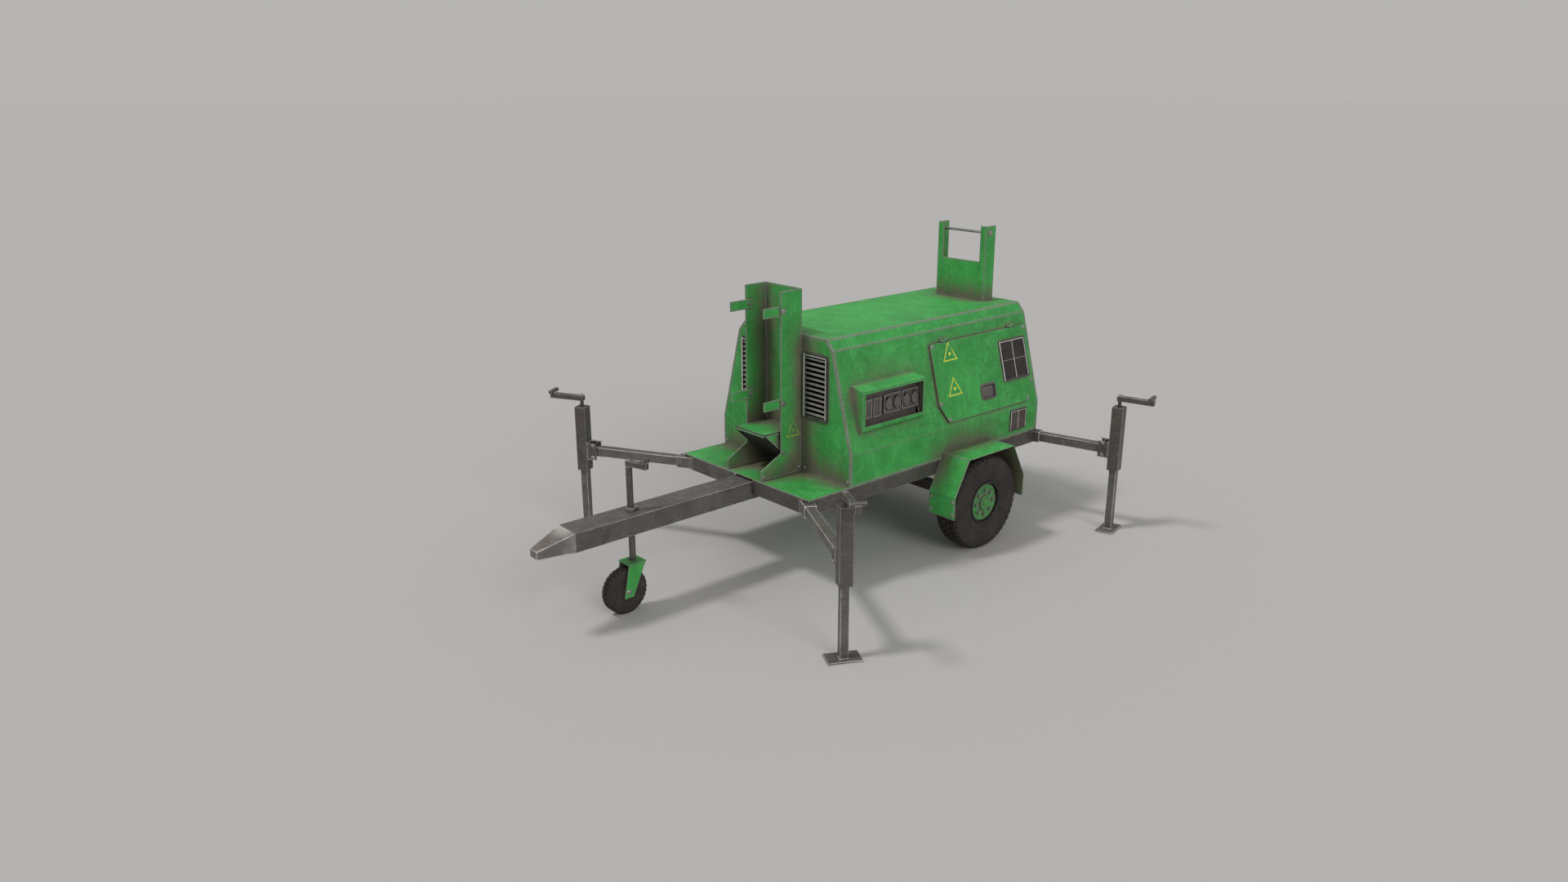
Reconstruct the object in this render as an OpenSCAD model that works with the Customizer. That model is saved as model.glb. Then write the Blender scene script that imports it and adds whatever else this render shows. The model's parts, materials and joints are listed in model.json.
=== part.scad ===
// Towable diesel generator on a two-wheel chassis with four pull-out jacks.
// Frame: +Z up, the drawbar points to -X, the socket panel and the service door face -Y (left side).
// The origin is on the ground, at the middle of the footprint's box. All sizes are in millimetres.

/* [Chassis] */
// Width over the two side rails
frame_w = 1100; // [1000:10:1200]
// Height of the deck's top face above the ground
deck_z = 580; // [560:5:620]
// Thickness of the deck plate
deck_t = 5; // [3:1:8]
// Height of the channel-section rails
rail_h = 85; // [70:5:90]
// Length of the open deck in front of the canopy
deck_len = 312; // [300:2:340]
// Distance from the deck's front edge back to the axle
axle_back = 1303; // [1280:1:1320]

/* [Drawbar] */
// Width of the drawbar's box section
drawbar_w = 162; // [140:2:180]
// Height of the drawbar's box section
drawbar_h = 105; // [90:5:110]
// Reach of the drawbar's full section ahead of the deck
drawbar_reach = 1158; // [1000:2:1250]
// Length of the tapered nose
nose_len = 198; // [150:2:240]
// Radius of the towing socket under the nose, for a 50 mm ball
socket_r = 25.3; // [25.1:0.1:25.5]

/* [Canopy] */
// Length of the canopy
canopy_len = 1695; // [1600:5:1800]
// Height above the ground of the crease where the side walls start to lean in
waist_z = 760; // [740:5:780]
// Height of the crease where the side walls meet the roof's chamfer
shoulder_z = 1322; // [1300:2:1340]
// Half width of the canopy at that upper crease
shoulder_hw = 398; // [380:2:420]
// Height of the flat roof
roof_z = 1379; // [1370:1:1390]
// Half width of the flat roof
roof_hw = 348; // [330:2:360]
// Thickness of the canopy's sheet
sheet = 3; // [2:0.5:4]

/* [Mast supports] */
// Half width of the mast channel at the canopy's front
mast_hw = 152; // [140:1:160]
// Depth of the mast channel's flanges
mast_depth = 157; // [140:1:170]
// Height of the mast channel's top
mast_top_z = 1636; // [1600:1:1660]
// Thickness of the mast channel's and the rear rest's plate
mast_t = 8; // [6:1:10]
// Half width of the mast rest on the roof
rest_hw = 195; // [180:1:205]
// Height of the mast rest's top
rest_top_z = 1850; // [1820:1:1870]
// Height of the saddle where the lowered mast lies
rest_saddle_z = 1625; // [1600:1:1640]

/* [Wheels] */
// Outer radius of the road tyres
tyre_r = 290; // [285:1:295]
// Width of the road tyres
tyre_w = 175; // [165:1:180]
// Radius of the rim's bead seat, for a 10 inch rim
rim_r = 127; // [120:1:130]
// Radius of the jockey wheel
jockey_r = 127; // [118:1:130]

/* [Outriggers] */
// Angle of the front arms from the +X axis
front_splay = 118.5; // [112:0.5:125]
// Distance from the frame's front corner to the front jack's axis
front_reach = 685; // [620:5:700]
// Angle of the rear arms from the +X axis
rear_splay = 76.5; // [70:0.5:82]
// Distance from the frame's rear corner to the rear jack's axis
rear_reach = 530; // [500:5:560]
// Outer width of the arm's square tube
arm_w = 55; // [50:1:58]
// Outer width of the jack's square tube
jack_w = 70; // [66:1:76]
// Width of the jack's inner leg
leg_w = 45; // [40:1:48]
// Reach of a jack's crank handle
crank_reach = 195; // [170:5:205]

/* [Hidden] */
$fn = 48;

// Colours
paint = [0.20, 0.58, 0.27];
steel = [0.33, 0.32, 0.31];
dark_steel = [0.22, 0.21, 0.20];
bright_steel = [0.62, 0.62, 0.60];
rubber = [0.10, 0.10, 0.10];
plastic = [0.28, 0.28, 0.29];
engine_grey = [0.45, 0.47, 0.48];

// Places along X, all counted from the front edge of the deck
half_w = frame_w / 2;
frame_len = deck_len + canopy_len;
foot_l = 180;
foot_w = 110;
screw_r = 11;
rear_tip = frame_len + rear_reach * cos(rear_splay)
    + foot_l / 2 * sin(rear_splay) + foot_w / 2 * cos(rear_splay);
front_x = (drawbar_reach + nose_len - rear_tip) / 2;
canopy_x = front_x + deck_len;
rear_x = front_x + frame_len;
axle_x = front_x + axle_back;

// Heights
rail_top = deck_z - deck_t;
rail_bottom = rail_top - rail_h;
drawbar_bottom = rail_bottom - 30;
drawbar_top = drawbar_bottom + drawbar_h;
arm_z = deck_z - 50;
jack_top = arm_z + 278;
jack_bottom = arm_z - 130;

// Fits and steps
gap = 1;
touch = 0.01;
run = 0.06;

// Side wall of the canopy: a frame whose X runs along the body, Y up the wall and Z out of it
wall_rise = shoulder_z - waist_z;
wall_lean = half_w - shoulder_hw;
wall_len = norm([wall_rise, wall_lean]);
wall_angle = atan2(wall_rise, wall_lean);

// Service door, in the wall's frame
door_x = canopy_x + 758;
door_w = 896;
door_y = 28;
door_h = 476;
door_chamfer_x = 65;
door_chamfer_y = 110;
door_t = 12;
door_gap = 2;
hinge_y = door_y + door_h + 8;
hinge_z = door_gap + door_t / 2;
vent_w = 255;
vent_x = door_x + 615;
vent_y = 178;
latch_x = door_x + 395;
latch_y = 112;
latch_w = 118;
latch_h = 78;

// Panel hood
hood_x = canopy_x + 90;
hood_w = 508;
hood_front = half_w - 3;
socket_z = 988;
socket_face = 508;
socket_xs = [front_x + 648, front_x + 716, front_x + 795, front_x + 863];
lid_r = 28;

// Jockey wheel
jockey_x = front_x - 770;
jockey_trail = 61;
stem_r = 17.5;
stem_bottom = 285;
stem_top = 812;

// Engine bay
crank_z = 850;
muffler_y = 205;
muffler_z = 1150;
tail_x = 830;
tail_r = 24;

// ---------------------------------------------------------------- helpers

function unit(v) = v / norm(v);

// Right-hand normal of the step from a to b
function side_normal(a, b) = [unit(b - a)[1], -unit(b - a)[0]];

// Point i of the path p moved by t across it, with mitred corners
function mitred(p, i, t) =
    let (j = min(i, len(p) - 2), k = max(i - 1, 0))
    let (n0 = side_normal(p[k], p[k + 1]), n1 = side_normal(p[j], p[j + 1]))
    p[i] + t * (n0 + n1) / (1 + n0 * n1);

// Closed outline of a folded sheet of thickness t along the path p
function folded(p, t) = concat(p, [for (i = [len(p) - 1 : -1 : 0]) mitred(p, i, t)]);

// Mirrored copy of a list of points, in reverse order
function mirrored(p) = [for (i = [len(p) - 1 : -1 : 0]) [-p[i][0], p[i][1]]];

// Extrudes an outline drawn in Y and Z along X
module along_x(x, length) {
    translate([x, 0, 0])
        rotate([90, 0, 90])
            linear_extrude(length)
                children();
}

// Extrudes an outline drawn in X and Z towards +Y
module along_y(y, length) {
    translate([0, y + length, 0])
        rotate([90, 0, 0])
            linear_extrude(length)
                children();
}

// Box between two opposite corners
module box(a, b) {
    translate(a)
        cube(b - a);
}

// The left side (-1) as drawn, the right side (+1) mirrored
module on_side(side) {
    mirror([0, side > 0 ? 1 : 0, 0])
        children();
}

// Both sides
module both_sides() {
    on_side(-1)
        children();
    on_side(1)
        children();
}

// Frame of the left leaning wall: origin on the waist crease
module wall_frame() {
    translate([0, -half_w, waist_z])
        rotate([wall_angle, 0, 0])
            children();
}

// Square tube along X with its axis at the origin
module square_tube(x0, x1, outer, inner) {
    difference() {
        box([x0, -outer / 2, -outer / 2], [x1, outer / 2, outer / 2]);
        box([x0 - 1, -inner / 2, -inner / 2], [x1 + 1, inner / 2, inner / 2]);
    }
}

// Hexagon bolt head on a washer, standing on the XY plane
module bolt_head(r, h) {
    cylinder(r = r * 1.35, h = h * 0.3);
    cylinder(r = r, h = h, $fn = 6);
}

// Cylinder of radius r along Y, between two places
module rod_y(r, y0, y1) {
    translate([0, y0, 0])
        rotate([-90, 0, 0])
            cylinder(r = r, h = y1 - y0);
}

// Places the frame of an outrigger: X points outwards along the arm from the frame's corner
module outrigger_frame(front) {
    translate([front ? front_x : rear_x, -half_w, 0])
        rotate([0, 0, -(front ? front_splay : rear_splay)])
            children();
}

// ---------------------------------------------------------------- chassis

// Space that the arm sleeves take, left clear in the rails
module sleeve_space() {
    for (front = [true, false])
        both_sides()
            outrigger_frame(front)
                box([-260, -sleeve_w / 2, arm_z - sleeve_w / 2], [45, sleeve_w / 2, arm_z + sleeve_w / 2]);
}

sleeve_w = arm_w + 13;

// Channel section, open towards +Y, along X
module channel_x(x0, x1, y, width, web) {
    difference() {
        box([x0, y, rail_bottom], [x1, y + width, rail_top]);
        box([x0 - 1, y + web, rail_bottom + web], [x1 + 1, y + width + 1, rail_top - web]);
    }
}

module side_rails() {
    color(steel)
        difference() {
            both_sides()
                channel_x(front_x, rear_x, -half_w, 50, 5);
            sleeve_space();
        }
}

// Channel across the frame between the rails, open towards +X
module cross_channel(x, width) {
    inner = half_w - 50;
    difference() {
        box([x, -inner, rail_bottom], [x + width, inner, rail_top]);
        box([x + 5, -inner - 1, rail_bottom + 5], [x + width + 1, inner + 1, rail_top - 5]);
    }
}

module cross_members() {
    color(steel)
        difference() {
            union() {
                cross_channel(front_x, 50);
                cross_channel(front_x + 440, 50);
                cross_channel(front_x + 900, 50);
                cross_channel(front_x + 1400, 50);
                cross_channel(front_x + 1840, 50);
                box([rear_x - 5, -half_w + 50, rail_bottom], [rear_x, half_w - 50, rail_top]);
            }
            sleeve_space();
            box([front_x - 1, -drawbar_w / 2, 0], [front_x + 60, drawbar_w / 2, rail_top + 1]);
        }
}

module deck_plate() {
    color(paint)
        difference() {
            box([front_x, -half_w, rail_top], [rear_x, half_w, deck_z]);
            translate([canopy_x + tail_x, muffler_y, rail_top - 1])
                cylinder(r = tail_r + 4, h = deck_t + 2);
        }
}

module outrigger_sleeves() {
    color(steel)
        for (front = [true, false])
            both_sides()
                outrigger_frame(front)
                    translate([0, 0, arm_z])
                        square_tube(-250, 38, sleeve_w, arm_w + 2 * gap);
}

// Outline of the drawbar from above, with the nose drawn in to a blunt end
function drawbar_plan() =
    let (tip = front_x - drawbar_reach - nose_len, shoulder = front_x - drawbar_reach)
    [[front_x + 440, -drawbar_w / 2], [shoulder, -drawbar_w / 2], [tip, -32],
        [tip, 32], [shoulder, drawbar_w / 2], [front_x + 440, drawbar_w / 2]];

// Outline of the drawbar from the side, with the nose's top sloping down
function drawbar_side() =
    let (tip = front_x - drawbar_reach - nose_len, shoulder = front_x - drawbar_reach)
    [[front_x + 440, drawbar_bottom], [tip, drawbar_bottom], [tip, drawbar_bottom + 44],
        [shoulder, drawbar_top], [front_x + 440, drawbar_top]];

module drawbar() {
    color(steel)
        difference() {
            intersection() {
                translate([0, 0, drawbar_bottom - 1])
                    linear_extrude(drawbar_h + 2)
                        polygon(drawbar_plan());
                along_y(-drawbar_w, drawbar_w * 2)
                    polygon(drawbar_side());
            }
            box([front_x - drawbar_reach + 20, -drawbar_w / 2 + 6, drawbar_bottom + 6],
                [front_x + 441, drawbar_w / 2 - 6, drawbar_top - 6]);
            translate([jockey_x, 0, drawbar_bottom - 1])
                cylinder(r = stem_r + 0.5, h = drawbar_h + 2);
            translate([coupling_x, 0, drawbar_bottom - 1])
                cylinder(r = socket_r + 7, h = 41);
        }
}

coupling_x = front_x - drawbar_reach - 70;

// Ball socket let into the nose from below
module coupling_socket() {
    color(bright_steel)
        translate([coupling_x, 0, drawbar_bottom])
            difference() {
                cylinder(r = socket_r + 7, h = 40);
                translate([0, 0, -1])
                    cylinder(r = socket_r, h = 21);
                translate([0, 0, 10])
                    intersection() {
                        sphere(r = socket_r);
                        cylinder(r = socket_r, h = 30);
                    }
            }
}

module axle_beam() {
    color(dark_steel)
        translate([axle_x, 0, 0]) {
            box([-30, -545, tyre_r - 30], [30, 545, tyre_r + 30]);
            both_sides() {
                box([-60, -545, tyre_r + 30], [60, -537, rail_bottom]);
                box([-60, -508, tyre_r + 30], [60, -500, rail_bottom]);
                translate([0, 0, tyre_r])
                    rod_y(20, -690, -545);
            }
        }
}

// Folded sheet arch over one wheel
function fender_path() =
    [[-325, 265], [-325, 405], [-211, 614], [211, 614], [325, 405], [325, 265]];

module fenders() {
    color(paint)
        both_sides()
            translate([axle_x, 0, 0])
                along_y(-752, 752 - half_w)
                    polygon(folded(fender_path(), 4));
}

// ---------------------------------------------------------------- canopy

// Half outline of the canopy's section, from the bottom up
function canopy_half() = [[-half_w, deck_z], [-half_w, waist_z], [-shoulder_hw, shoulder_z], [-roof_hw, roof_z]];

function canopy_outline() = concat(canopy_half(), mirrored(canopy_half()));

// Outline of the door and the service panel, grown by e on every side
function door_outline(e) =
    [[door_chamfer_x - e / 2, -e], [door_w - door_chamfer_x + e / 2, -e],
        [door_w + e, door_chamfer_y - e / 2], [door_w + e, door_h + e], [-e, door_h + e],
        [-e, door_chamfer_y - e / 2]];

// Opening for a grille with its lower corner at the origin and its hole drawn in by e
module grille_hole(w, h, e) {
    translate([e, e, -20])
        cube([w - 2 * e, h - 2 * e, 40]);
}

// Places the two front grilles, and the two at the rear, with Z out of the wall
module at_front_grilles() {
    for (y = [-366, 174])
        translate([canopy_x, y + grille_w, grille_z])
            rotate([90, 0, -90])
                children();
}

module at_rear_grilles() {
    for (y = [-366, 174])
        translate([rear_x, y, grille_z])
            rotate([90, 0, 90])
                children();
}

grille_w = 192;
grille_h = 373;
grille_z = 911;
low_vent_w = 158;
low_vent_h = 131;

// Places the low vent at the rear of the left and the right side
module at_low_vents() {
    both_sides()
        translate([front_x + 1725, -half_w, 614])
            rotate([90, 0, 0])
                children();
}

module canopy_shell() {
    color(paint)
        difference() {
            union() {
                along_x(canopy_x + sheet, canopy_len - 2 * sheet)
                    polygon(folded(canopy_outline(), sheet));
                along_x(canopy_x, sheet)
                    polygon(canopy_outline());
                along_x(rear_x - sheet, sheet)
                    polygon(canopy_outline());
            }
            at_front_grilles()
                grille_hole(grille_w, grille_h, 12);
            at_rear_grilles()
                grille_hole(grille_w, grille_h, 12);
            at_low_vents()
                grille_hole(low_vent_w, low_vent_h, 8);
            both_sides()
                wall_frame()
                    translate([door_x, door_y, -20])
                        linear_extrude(40)
                            polygon(door_outline(-22));
            wall_frame()
                box([hood_x + 12, 122, -20], [hood_x + hood_w - 12, 362, 20]);
        }
}

// Framed grille with slats, lower corner at the origin, Z out of the wall
module louvre(w, h, border, depth, slats, slat_t, tilt) {
    difference() {
        cube([w, h, depth]);
        translate([border, border, -1])
            cube([w - 2 * border, h - 2 * border, depth + 2]);
    }
    pitch = (h - 2 * border) / slats;
    for (i = [0 : slats - 1])
        translate([border - touch, border + pitch * (i + 0.5), depth / 2])
            rotate([tilt, 0, 0])
                translate([0, -pitch * 0.3, -slat_t / 2])
                    cube([w - 2 * border + 2 * touch, pitch * 0.6, slat_t]);
}

// Window with fine slats and a cross of bars
module barred_vent(w, h, border, depth, slats) {
    louvre(w, h, border, depth, slats, 2, 0);
    box([w / 2 - border / 2, border - touch, depth * 0.5], [w / 2 + border / 2, h - border + touch, depth]);
}

module grilles() {
    color(dark_steel) {
        at_front_grilles()
            louvre(grille_w, grille_h, 14, 12, 11, 3, 30);
        at_rear_grilles()
            louvre(grille_w, grille_h, 14, 12, 11, 3, 30);
        at_low_vents()
            barred_vent(low_vent_w, low_vent_h, 9, 8, 12);
    }
}

// ---------------------------------------------------------------- mast supports

// Side outline of one flange with its foot, counted from the canopy's front face
function flange_outline() =
    [[0, deck_z], [-deck_len + 7, deck_z], [-deck_len + 7, deck_z + 60], [-mast_depth, deck_z + 135],
        [-mast_depth, mast_top_z], [0, mast_top_z]];

module mast_channel() {
    color(paint)
        translate([canopy_x, 0, 0])
            difference() {
                union() {
                    box([-mast_t, -mast_hw, deck_z], [0, mast_hw, mast_top_z]);
                    both_sides()
                        along_y(-mast_hw, mast_t)
                            polygon(flange_outline());
                }
                for (z = tab_zs)
                    translate([tab_bolt_x, 0, z])
                        rod_y(6.5, -mast_hw - 1, mast_hw + 1);
            }
}

tab_zs = [1003, 1525];
tab_bolt_x = -139;

// Four pointing tabs inside the flanges
module mast_tabs() {
    color(paint)
        translate([canopy_x, 0, 0])
            both_sides()
                for (z = tab_zs)
                    difference() {
                        box([-mast_depth - 118, -mast_hw + mast_t, z - 28], [-112, -mast_hw + 2 * mast_t, z + 28]);
                        translate([tab_bolt_x, 0, z])
                            rod_y(6.5, -mast_hw, 0);
                    }
}

// Side outline of the wedge box at the channel's foot, drawn in by e
function wedge_outline(e) =
    [[-mast_t - e, deck_z + 255 - e], [-260 + 2 * e, deck_z + 255 - e], [-260 + 2 * e, deck_z + 240],
        [-mast_t - e, deck_z + 3 + 2 * e]];

module mast_foot_box() {
    color(paint)
        translate([canopy_x, 0, 0])
            difference() {
                along_y(-126, 252)
                    polygon(wedge_outline(0));
                along_y(-122, 244)
                    polygon(wedge_outline(4));
            }
}

module mast_rest() {
    color(paint)
        translate([front_x + 1839, 0, 0])
            difference() {
                box([0, -rest_hw, roof_z], [97, rest_hw, rest_top_z]);
                box([mast_t, -rest_hw + mast_t, roof_z - 1], [98, rest_hw - mast_t, rest_top_z + 1]);
                box([-1, -150, rest_saddle_z], [mast_t + 1, 150, rest_top_z + 1]);
                translate([40, 0, rest_top_z - 44])
                    rod_y(8.5, -rest_hw - 1, rest_hw + 1);
            }
}

module mast_rest_rod() {
    color(bright_steel)
        translate([front_x + 1879, 0, rest_top_z - 44]) {
            rod_y(8.4, -rest_hw, rest_hw);
            both_sides()
                translate([0, -rest_hw, 0])
                    rotate([90, 0, 0])
                        bolt_head(14, 10);
        }
}

// ---------------------------------------------------------------- fasteners on the body

module body_bolts() {
    color(bright_steel)
        both_sides() {
            translate([canopy_x, -mast_hw, 0])
                rotate([90, 0, 0]) {
                    for (z = tab_zs)
                        translate([tab_bolt_x, z, 0])
                            tab_bolt();
                    for (p = [[-140, 714], [-288, 603], [-18, 603]])
                        translate([p[0], p[1], 0])
                            bolt_head(8, 6);
                }
            for (y = [-176, -half_w + 22])
                translate([canopy_x, y, 603])
                    rotate([0, -90, 0])
                        bolt_head(8, 6);
            for (y = [-732, -half_w - 20])
                for (z = [296, 372])
                    translate([axle_x - 325, y, z])
                        rotate([0, -90, 0])
                            bolt_head(8, 6);
        }
}

// Bolt through a flange and its tab, with the nut on the inside
module tab_bolt() {
    bolt_head(11, 7);
    translate([0, 0, -2 * mast_t])
        cylinder(r = 6.4, h = 2 * mast_t);
    translate([0, 0, -2 * mast_t - 9])
        cylinder(r = 10, h = 9, $fn = 6);
}

// ---------------------------------------------------------------- socket panel

// Section of the hood in Y and Z; its back edge lies on the leaning wall
function wall_y(z) = -half_w + wall_lean * (z - waist_z) / wall_rise;

hood_top = 1126;
hood_bottom = 858;
function hood_section() =
    [[wall_y(hood_top), hood_top], [-hood_front, hood_top - 20], [-hood_front, hood_bottom + 24],
        [wall_y(hood_bottom), hood_bottom]];

module panel_hood() {
    color(paint)
        difference() {
            along_x(hood_x, hood_w)
                polygon(hood_section());
            along_x(hood_x + sheet, hood_w - 2 * sheet)
                polygon([[-400, hood_top + 7], [-hood_front + sheet, hood_top - 23],
                    [-hood_front + sheet, hood_bottom + 26], [-523, hood_bottom + 4.5], [-400, hood_bottom + 4.5]]);
            box([hood_x + 22, -hood_front - 1, 905], [hood_x + hood_w - 14, -hood_front + sheet + 1, 1088]);
        }
}

// Socket housing: a box with two round sockets
module socket_box(x) {
    translate([x, -socket_face, socket_z])
        difference() {
            box([-68, 0, -53], [68, 13, 58]);
            for (dx = [-34, 34])
                translate([dx, 0, 0]) {
                    rod_y(26, -1, 9);
                    for (a = [90, 210, 330])
                        rotate([0, a, 0])
                            translate([14, 0, 0])
                                rod_y(3, -1, 12);
                }
        }
}

// Two ears and the pin of one lid's hinge
module lid_hinge(x) {
    translate([x, -socket_face, socket_z + lid_pin_z]) {
        for (s = [-1, 1])
            translate([s * 11 - 2.5, -lid_pin_y - 3, -3.5])
                cube([5, lid_pin_y + 3, 7]);
        translate([0, -lid_pin_y, 0])
            rotate([0, 90, 0])
                cylinder(r = 1.6, h = 24, center = true);
    }
}

lid_pin_z = 34;
lid_pin_y = 4.5;

module control_panel() {
    color(plastic) {
        box([hood_x + 14, -socket_face + 13, 881], [hood_x + hood_w - 14, -socket_face + 16, 985]);
        box([hood_x + sheet, -socket_face + 13, 985], [hood_x + hood_w - sheet, -socket_face + 16, 1085]);
        socket_box((socket_xs[0] + socket_xs[1]) / 2);
        socket_box((socket_xs[2] + socket_xs[3]) / 2);
        for (x = socket_xs)
            lid_hinge(x);
        box([front_x + 458, -socket_face + 7, 926], [front_x + 596, -socket_face + 13, 1046]);
        for (x = [466, 532])
            translate([front_x + x, -socket_face, 932])
                cube([54, 7, 104]);
    }
}

// Round spring lid of socket i, with its lug on the hinge pin
module socket_lid(i) {
    color(steel)
        translate([socket_xs[i - 1], -socket_face, socket_z])
            difference() {
                union() {
                    rod_y(lid_r, -6, -1);
                    translate([-8, -6, 18])
                        cube([16, 5, lid_pin_z - 18]);
                    translate([-8, -lid_pin_y, lid_pin_z])
                        rotate([0, 90, 0])
                            cylinder(r = 3.5, h = 16);
                }
                translate([-9, -lid_pin_y, lid_pin_z])
                    rotate([0, 90, 0])
                        cylinder(r = 1.6 + run, h = 18);
            }
}

// ---------------------------------------------------------------- door and service panel

module door_panel() {
    color(paint)
        wall_frame() {
            difference() {
                translate([door_x, door_y, door_gap])
                    linear_extrude(door_t)
                        polygon(door_outline(0));
                translate([door_x, door_y, door_gap - 1])
                    linear_extrude(door_t - 2)
                        polygon(door_outline(-30));
                translate([vent_x, vent_y, 0])
                    grille_hole(vent_w, vent_w, 10);
                box([latch_x, latch_y, -1], [latch_x + latch_w, latch_y + latch_h, 30]);
                for (x = hinge_xs)
                    translate([x - 31, hinge_y - 12, -1])
                        cube([62, 20, 20]);
            }
            door_ribs();
            latch_dish();
            for (x = hinge_xs)
                door_knuckle(x);
            for (p = door_rivets())
                translate([door_x + p[0], door_y + p[1], door_gap + door_t])
                    cylinder(r = 8, h = 4);
        }
}

hinge_xs = [door_x + 130, door_x + door_w - 130];
function door_rivets() =
    [[18, door_h - 18], [door_w - 18, door_h - 18], [18, 118], [door_w - 18, 118], [74, 16], [door_w - 74, 16]];

// Stiffening ribs inside the door's pan
module door_ribs() {
    box([door_x + 29, door_y + 250, door_gap], [vent_x - 4, door_y + 262, door_gap + door_t - 2]);
    box([vent_x - 16, door_y + 29, door_gap], [vent_x - 4, door_y + door_h - 29, door_gap + door_t - 2]);
}

// Recessed dish that the latch paddle sits in
module latch_dish() {
    difference() {
        box([latch_x - 8, latch_y - 8, door_gap - 8],
            [latch_x + latch_w + 8, latch_y + latch_h + 8, door_gap + door_t + 3]);
        box([latch_x, latch_y, door_gap - 4], [latch_x + latch_w, latch_y + latch_h, door_gap + door_t + 4]);
        translate([latch_x - 5, latch_pin_y, latch_pin_z])
            rotate([0, 90, 0])
                cylinder(r = 3 + run, h = latch_w + 10);
    }
}

latch_pin_y = latch_y + latch_h - 9;
latch_pin_z = door_gap + 6;

// Paddle that is pulled out at its lower edge to free the door
module door_latch() {
    color(plastic)
        wall_frame()
            difference() {
                union() {
                    box([latch_x + 1, latch_y + 1, latch_pin_z - 1],
                        [latch_x + latch_w - 1, latch_y + latch_h - 4, latch_pin_z + 6]);
                    translate([latch_x - 4.5, latch_pin_y, latch_pin_z])
                        rotate([0, 90, 0])
                            cylinder(r = 3, h = latch_w + 9);
                    translate([latch_x + 1, latch_pin_y, latch_pin_z])
                        rotate([0, 90, 0])
                            cylinder(r = 6, h = latch_w - 2);
                }
                box([latch_x + 20, latch_y - 1, latch_pin_z - 2],
                    [latch_x + latch_w - 20, latch_y + 20, latch_pin_z + 2]);
            }
}

// Middle knuckle of a door hinge, with the strap that holds it
module door_knuckle(x) {
    difference() {
        union() {
            translate([x - 14.5, hinge_y - 20, hinge_z - 3])
                cube([29, 20, 6]);
            translate([x - 14.5, hinge_y, hinge_z])
                rotate([0, 90, 0])
                    cylinder(r = 7, h = 29);
        }
        translate([x - 20, hinge_y, hinge_z])
            rotate([0, 90, 0])
                cylinder(r = 3.5 + run, h = 40);
    }
}

// Fixed leaves, outer knuckles and pins of the door's hinges
module door_hinges() {
    color(paint)
        wall_frame()
            for (x = hinge_xs)
                translate([x, hinge_y, 0]) {
                    box([-30, 9, 0], [30, 45, 3]);
                    for (s = [-1, 1])
                        translate([s * 22.5, 0, 0]) {
                            box([-7.5, 0, 0], [7.5, 12, hinge_z - 3]);
                            translate([-7.5, 0, hinge_z])
                                rotate([0, 90, 0])
                                    cylinder(r = 7, h = 15);
                        }
                    translate([-30, 0, hinge_z])
                        rotate([0, 90, 0])
                            cylinder(r = 3.5, h = 60);
                }
}

module door_vent() {
    color(dark_steel)
        wall_frame()
            translate([vent_x, vent_y, door_gap + door_t]) {
                barred_vent(vent_w, vent_w, 12, 8, 14);
                box([11, vent_w / 2 - 3, 3], [vent_w - 11, vent_w / 2 + 3, 7]);
            }
}

// Bolted panel on the right side, where the left side has its door
module service_panel() {
    color(paint)
        mirror([0, 1, 0])
            wall_frame() {
                difference() {
                    translate([door_x, door_y, 0])
                        linear_extrude(5)
                            polygon(door_outline(0));
                    translate([vent_x, vent_y, 0])
                        grille_hole(vent_w, vent_w, 10);
                }
                for (p = door_rivets())
                    translate([door_x + p[0], door_y + p[1], 5])
                        bolt_head(8, 6);
                translate([vent_x, vent_y, 5]) {
                    barred_vent(vent_w, vent_w, 12, 8, 14);
                    box([11, vent_w / 2 - 3, 3], [vent_w - 11, vent_w / 2 + 3, 7]);
                }
            }
}

// ---------------------------------------------------------------- engine bay

module engine_block() {
    color(engine_grey)
        translate([canopy_x, 0, 0]) {
            difference() {
                union() {
                    box([860, -150, 690], [1320, 150, 960]);
                    box([880, -110, 640], [1300, 110, 690]);
                    box([875, -105, 960], [1305, 105, 1050]);
                    box([895, -70, 1050], [1285, 70, 1090]);
                }
                box([885, -120, 715], [1295, 120, 930]);
            }
            for (x = [950, 1060, 1170, 1270])
                translate([x, -140, 1000])
                    rod_y(20, 0, 36);
            box([928, -160, 978], [1292, -138, 1022]);
            for (x = [900, 1250])
                both_sides() {
                    box([x, -230, deck_z], [x + 50, -190, 730]);
                    box([x, -190, 700], [x + 50, -150, 730]);
                }
            translate([1320, 0, crank_z])
                rotate([0, 90, 0]) {
                    cylinder(r = 60, h = 20);
                    cylinder(r = 12, h = 75);
                }
        }
}

module alternator() {
    color(dark_steel)
        translate([canopy_x, 0, crank_z]) {
            rotate([0, 90, 0]) {
                translate([0, 0, 560])
                    cylinder(r = 120, h = 30);
                translate([0, 0, 590])
                    cylinder(r = 145, h = 240);
                translate([0, 0, 830])
                    cylinder(r = 155, h = 30);
            }
            both_sides()
                box([620, -150, deck_z - crank_z], [800, -100, -90]);
        }
}

module radiator() {
    color(dark_steel)
        translate([canopy_x, 0, 0])
            difference() {
                union() {
                    box([1430, -250, 660], [1490, 250, 1120]);
                    box([1425, -240, 1120], [1495, 240, 1165]);
                    box([1425, -240, 600], [1495, 240, 660]);
                    both_sides()
                        box([1435, -250, deck_z], [1485, -230, 660]);
                    translate([1400, 0, crank_z])
                        rotate([0, 90, 0])
                            cylinder(r = 195, h = 30);
                }
                translate([1399, 0, crank_z])
                    rotate([0, 90, 0])
                        cylinder(r = 185, h = 31);
                box([1438, -225, 680], [1482, 225, 1140]);
            }
}

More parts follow.
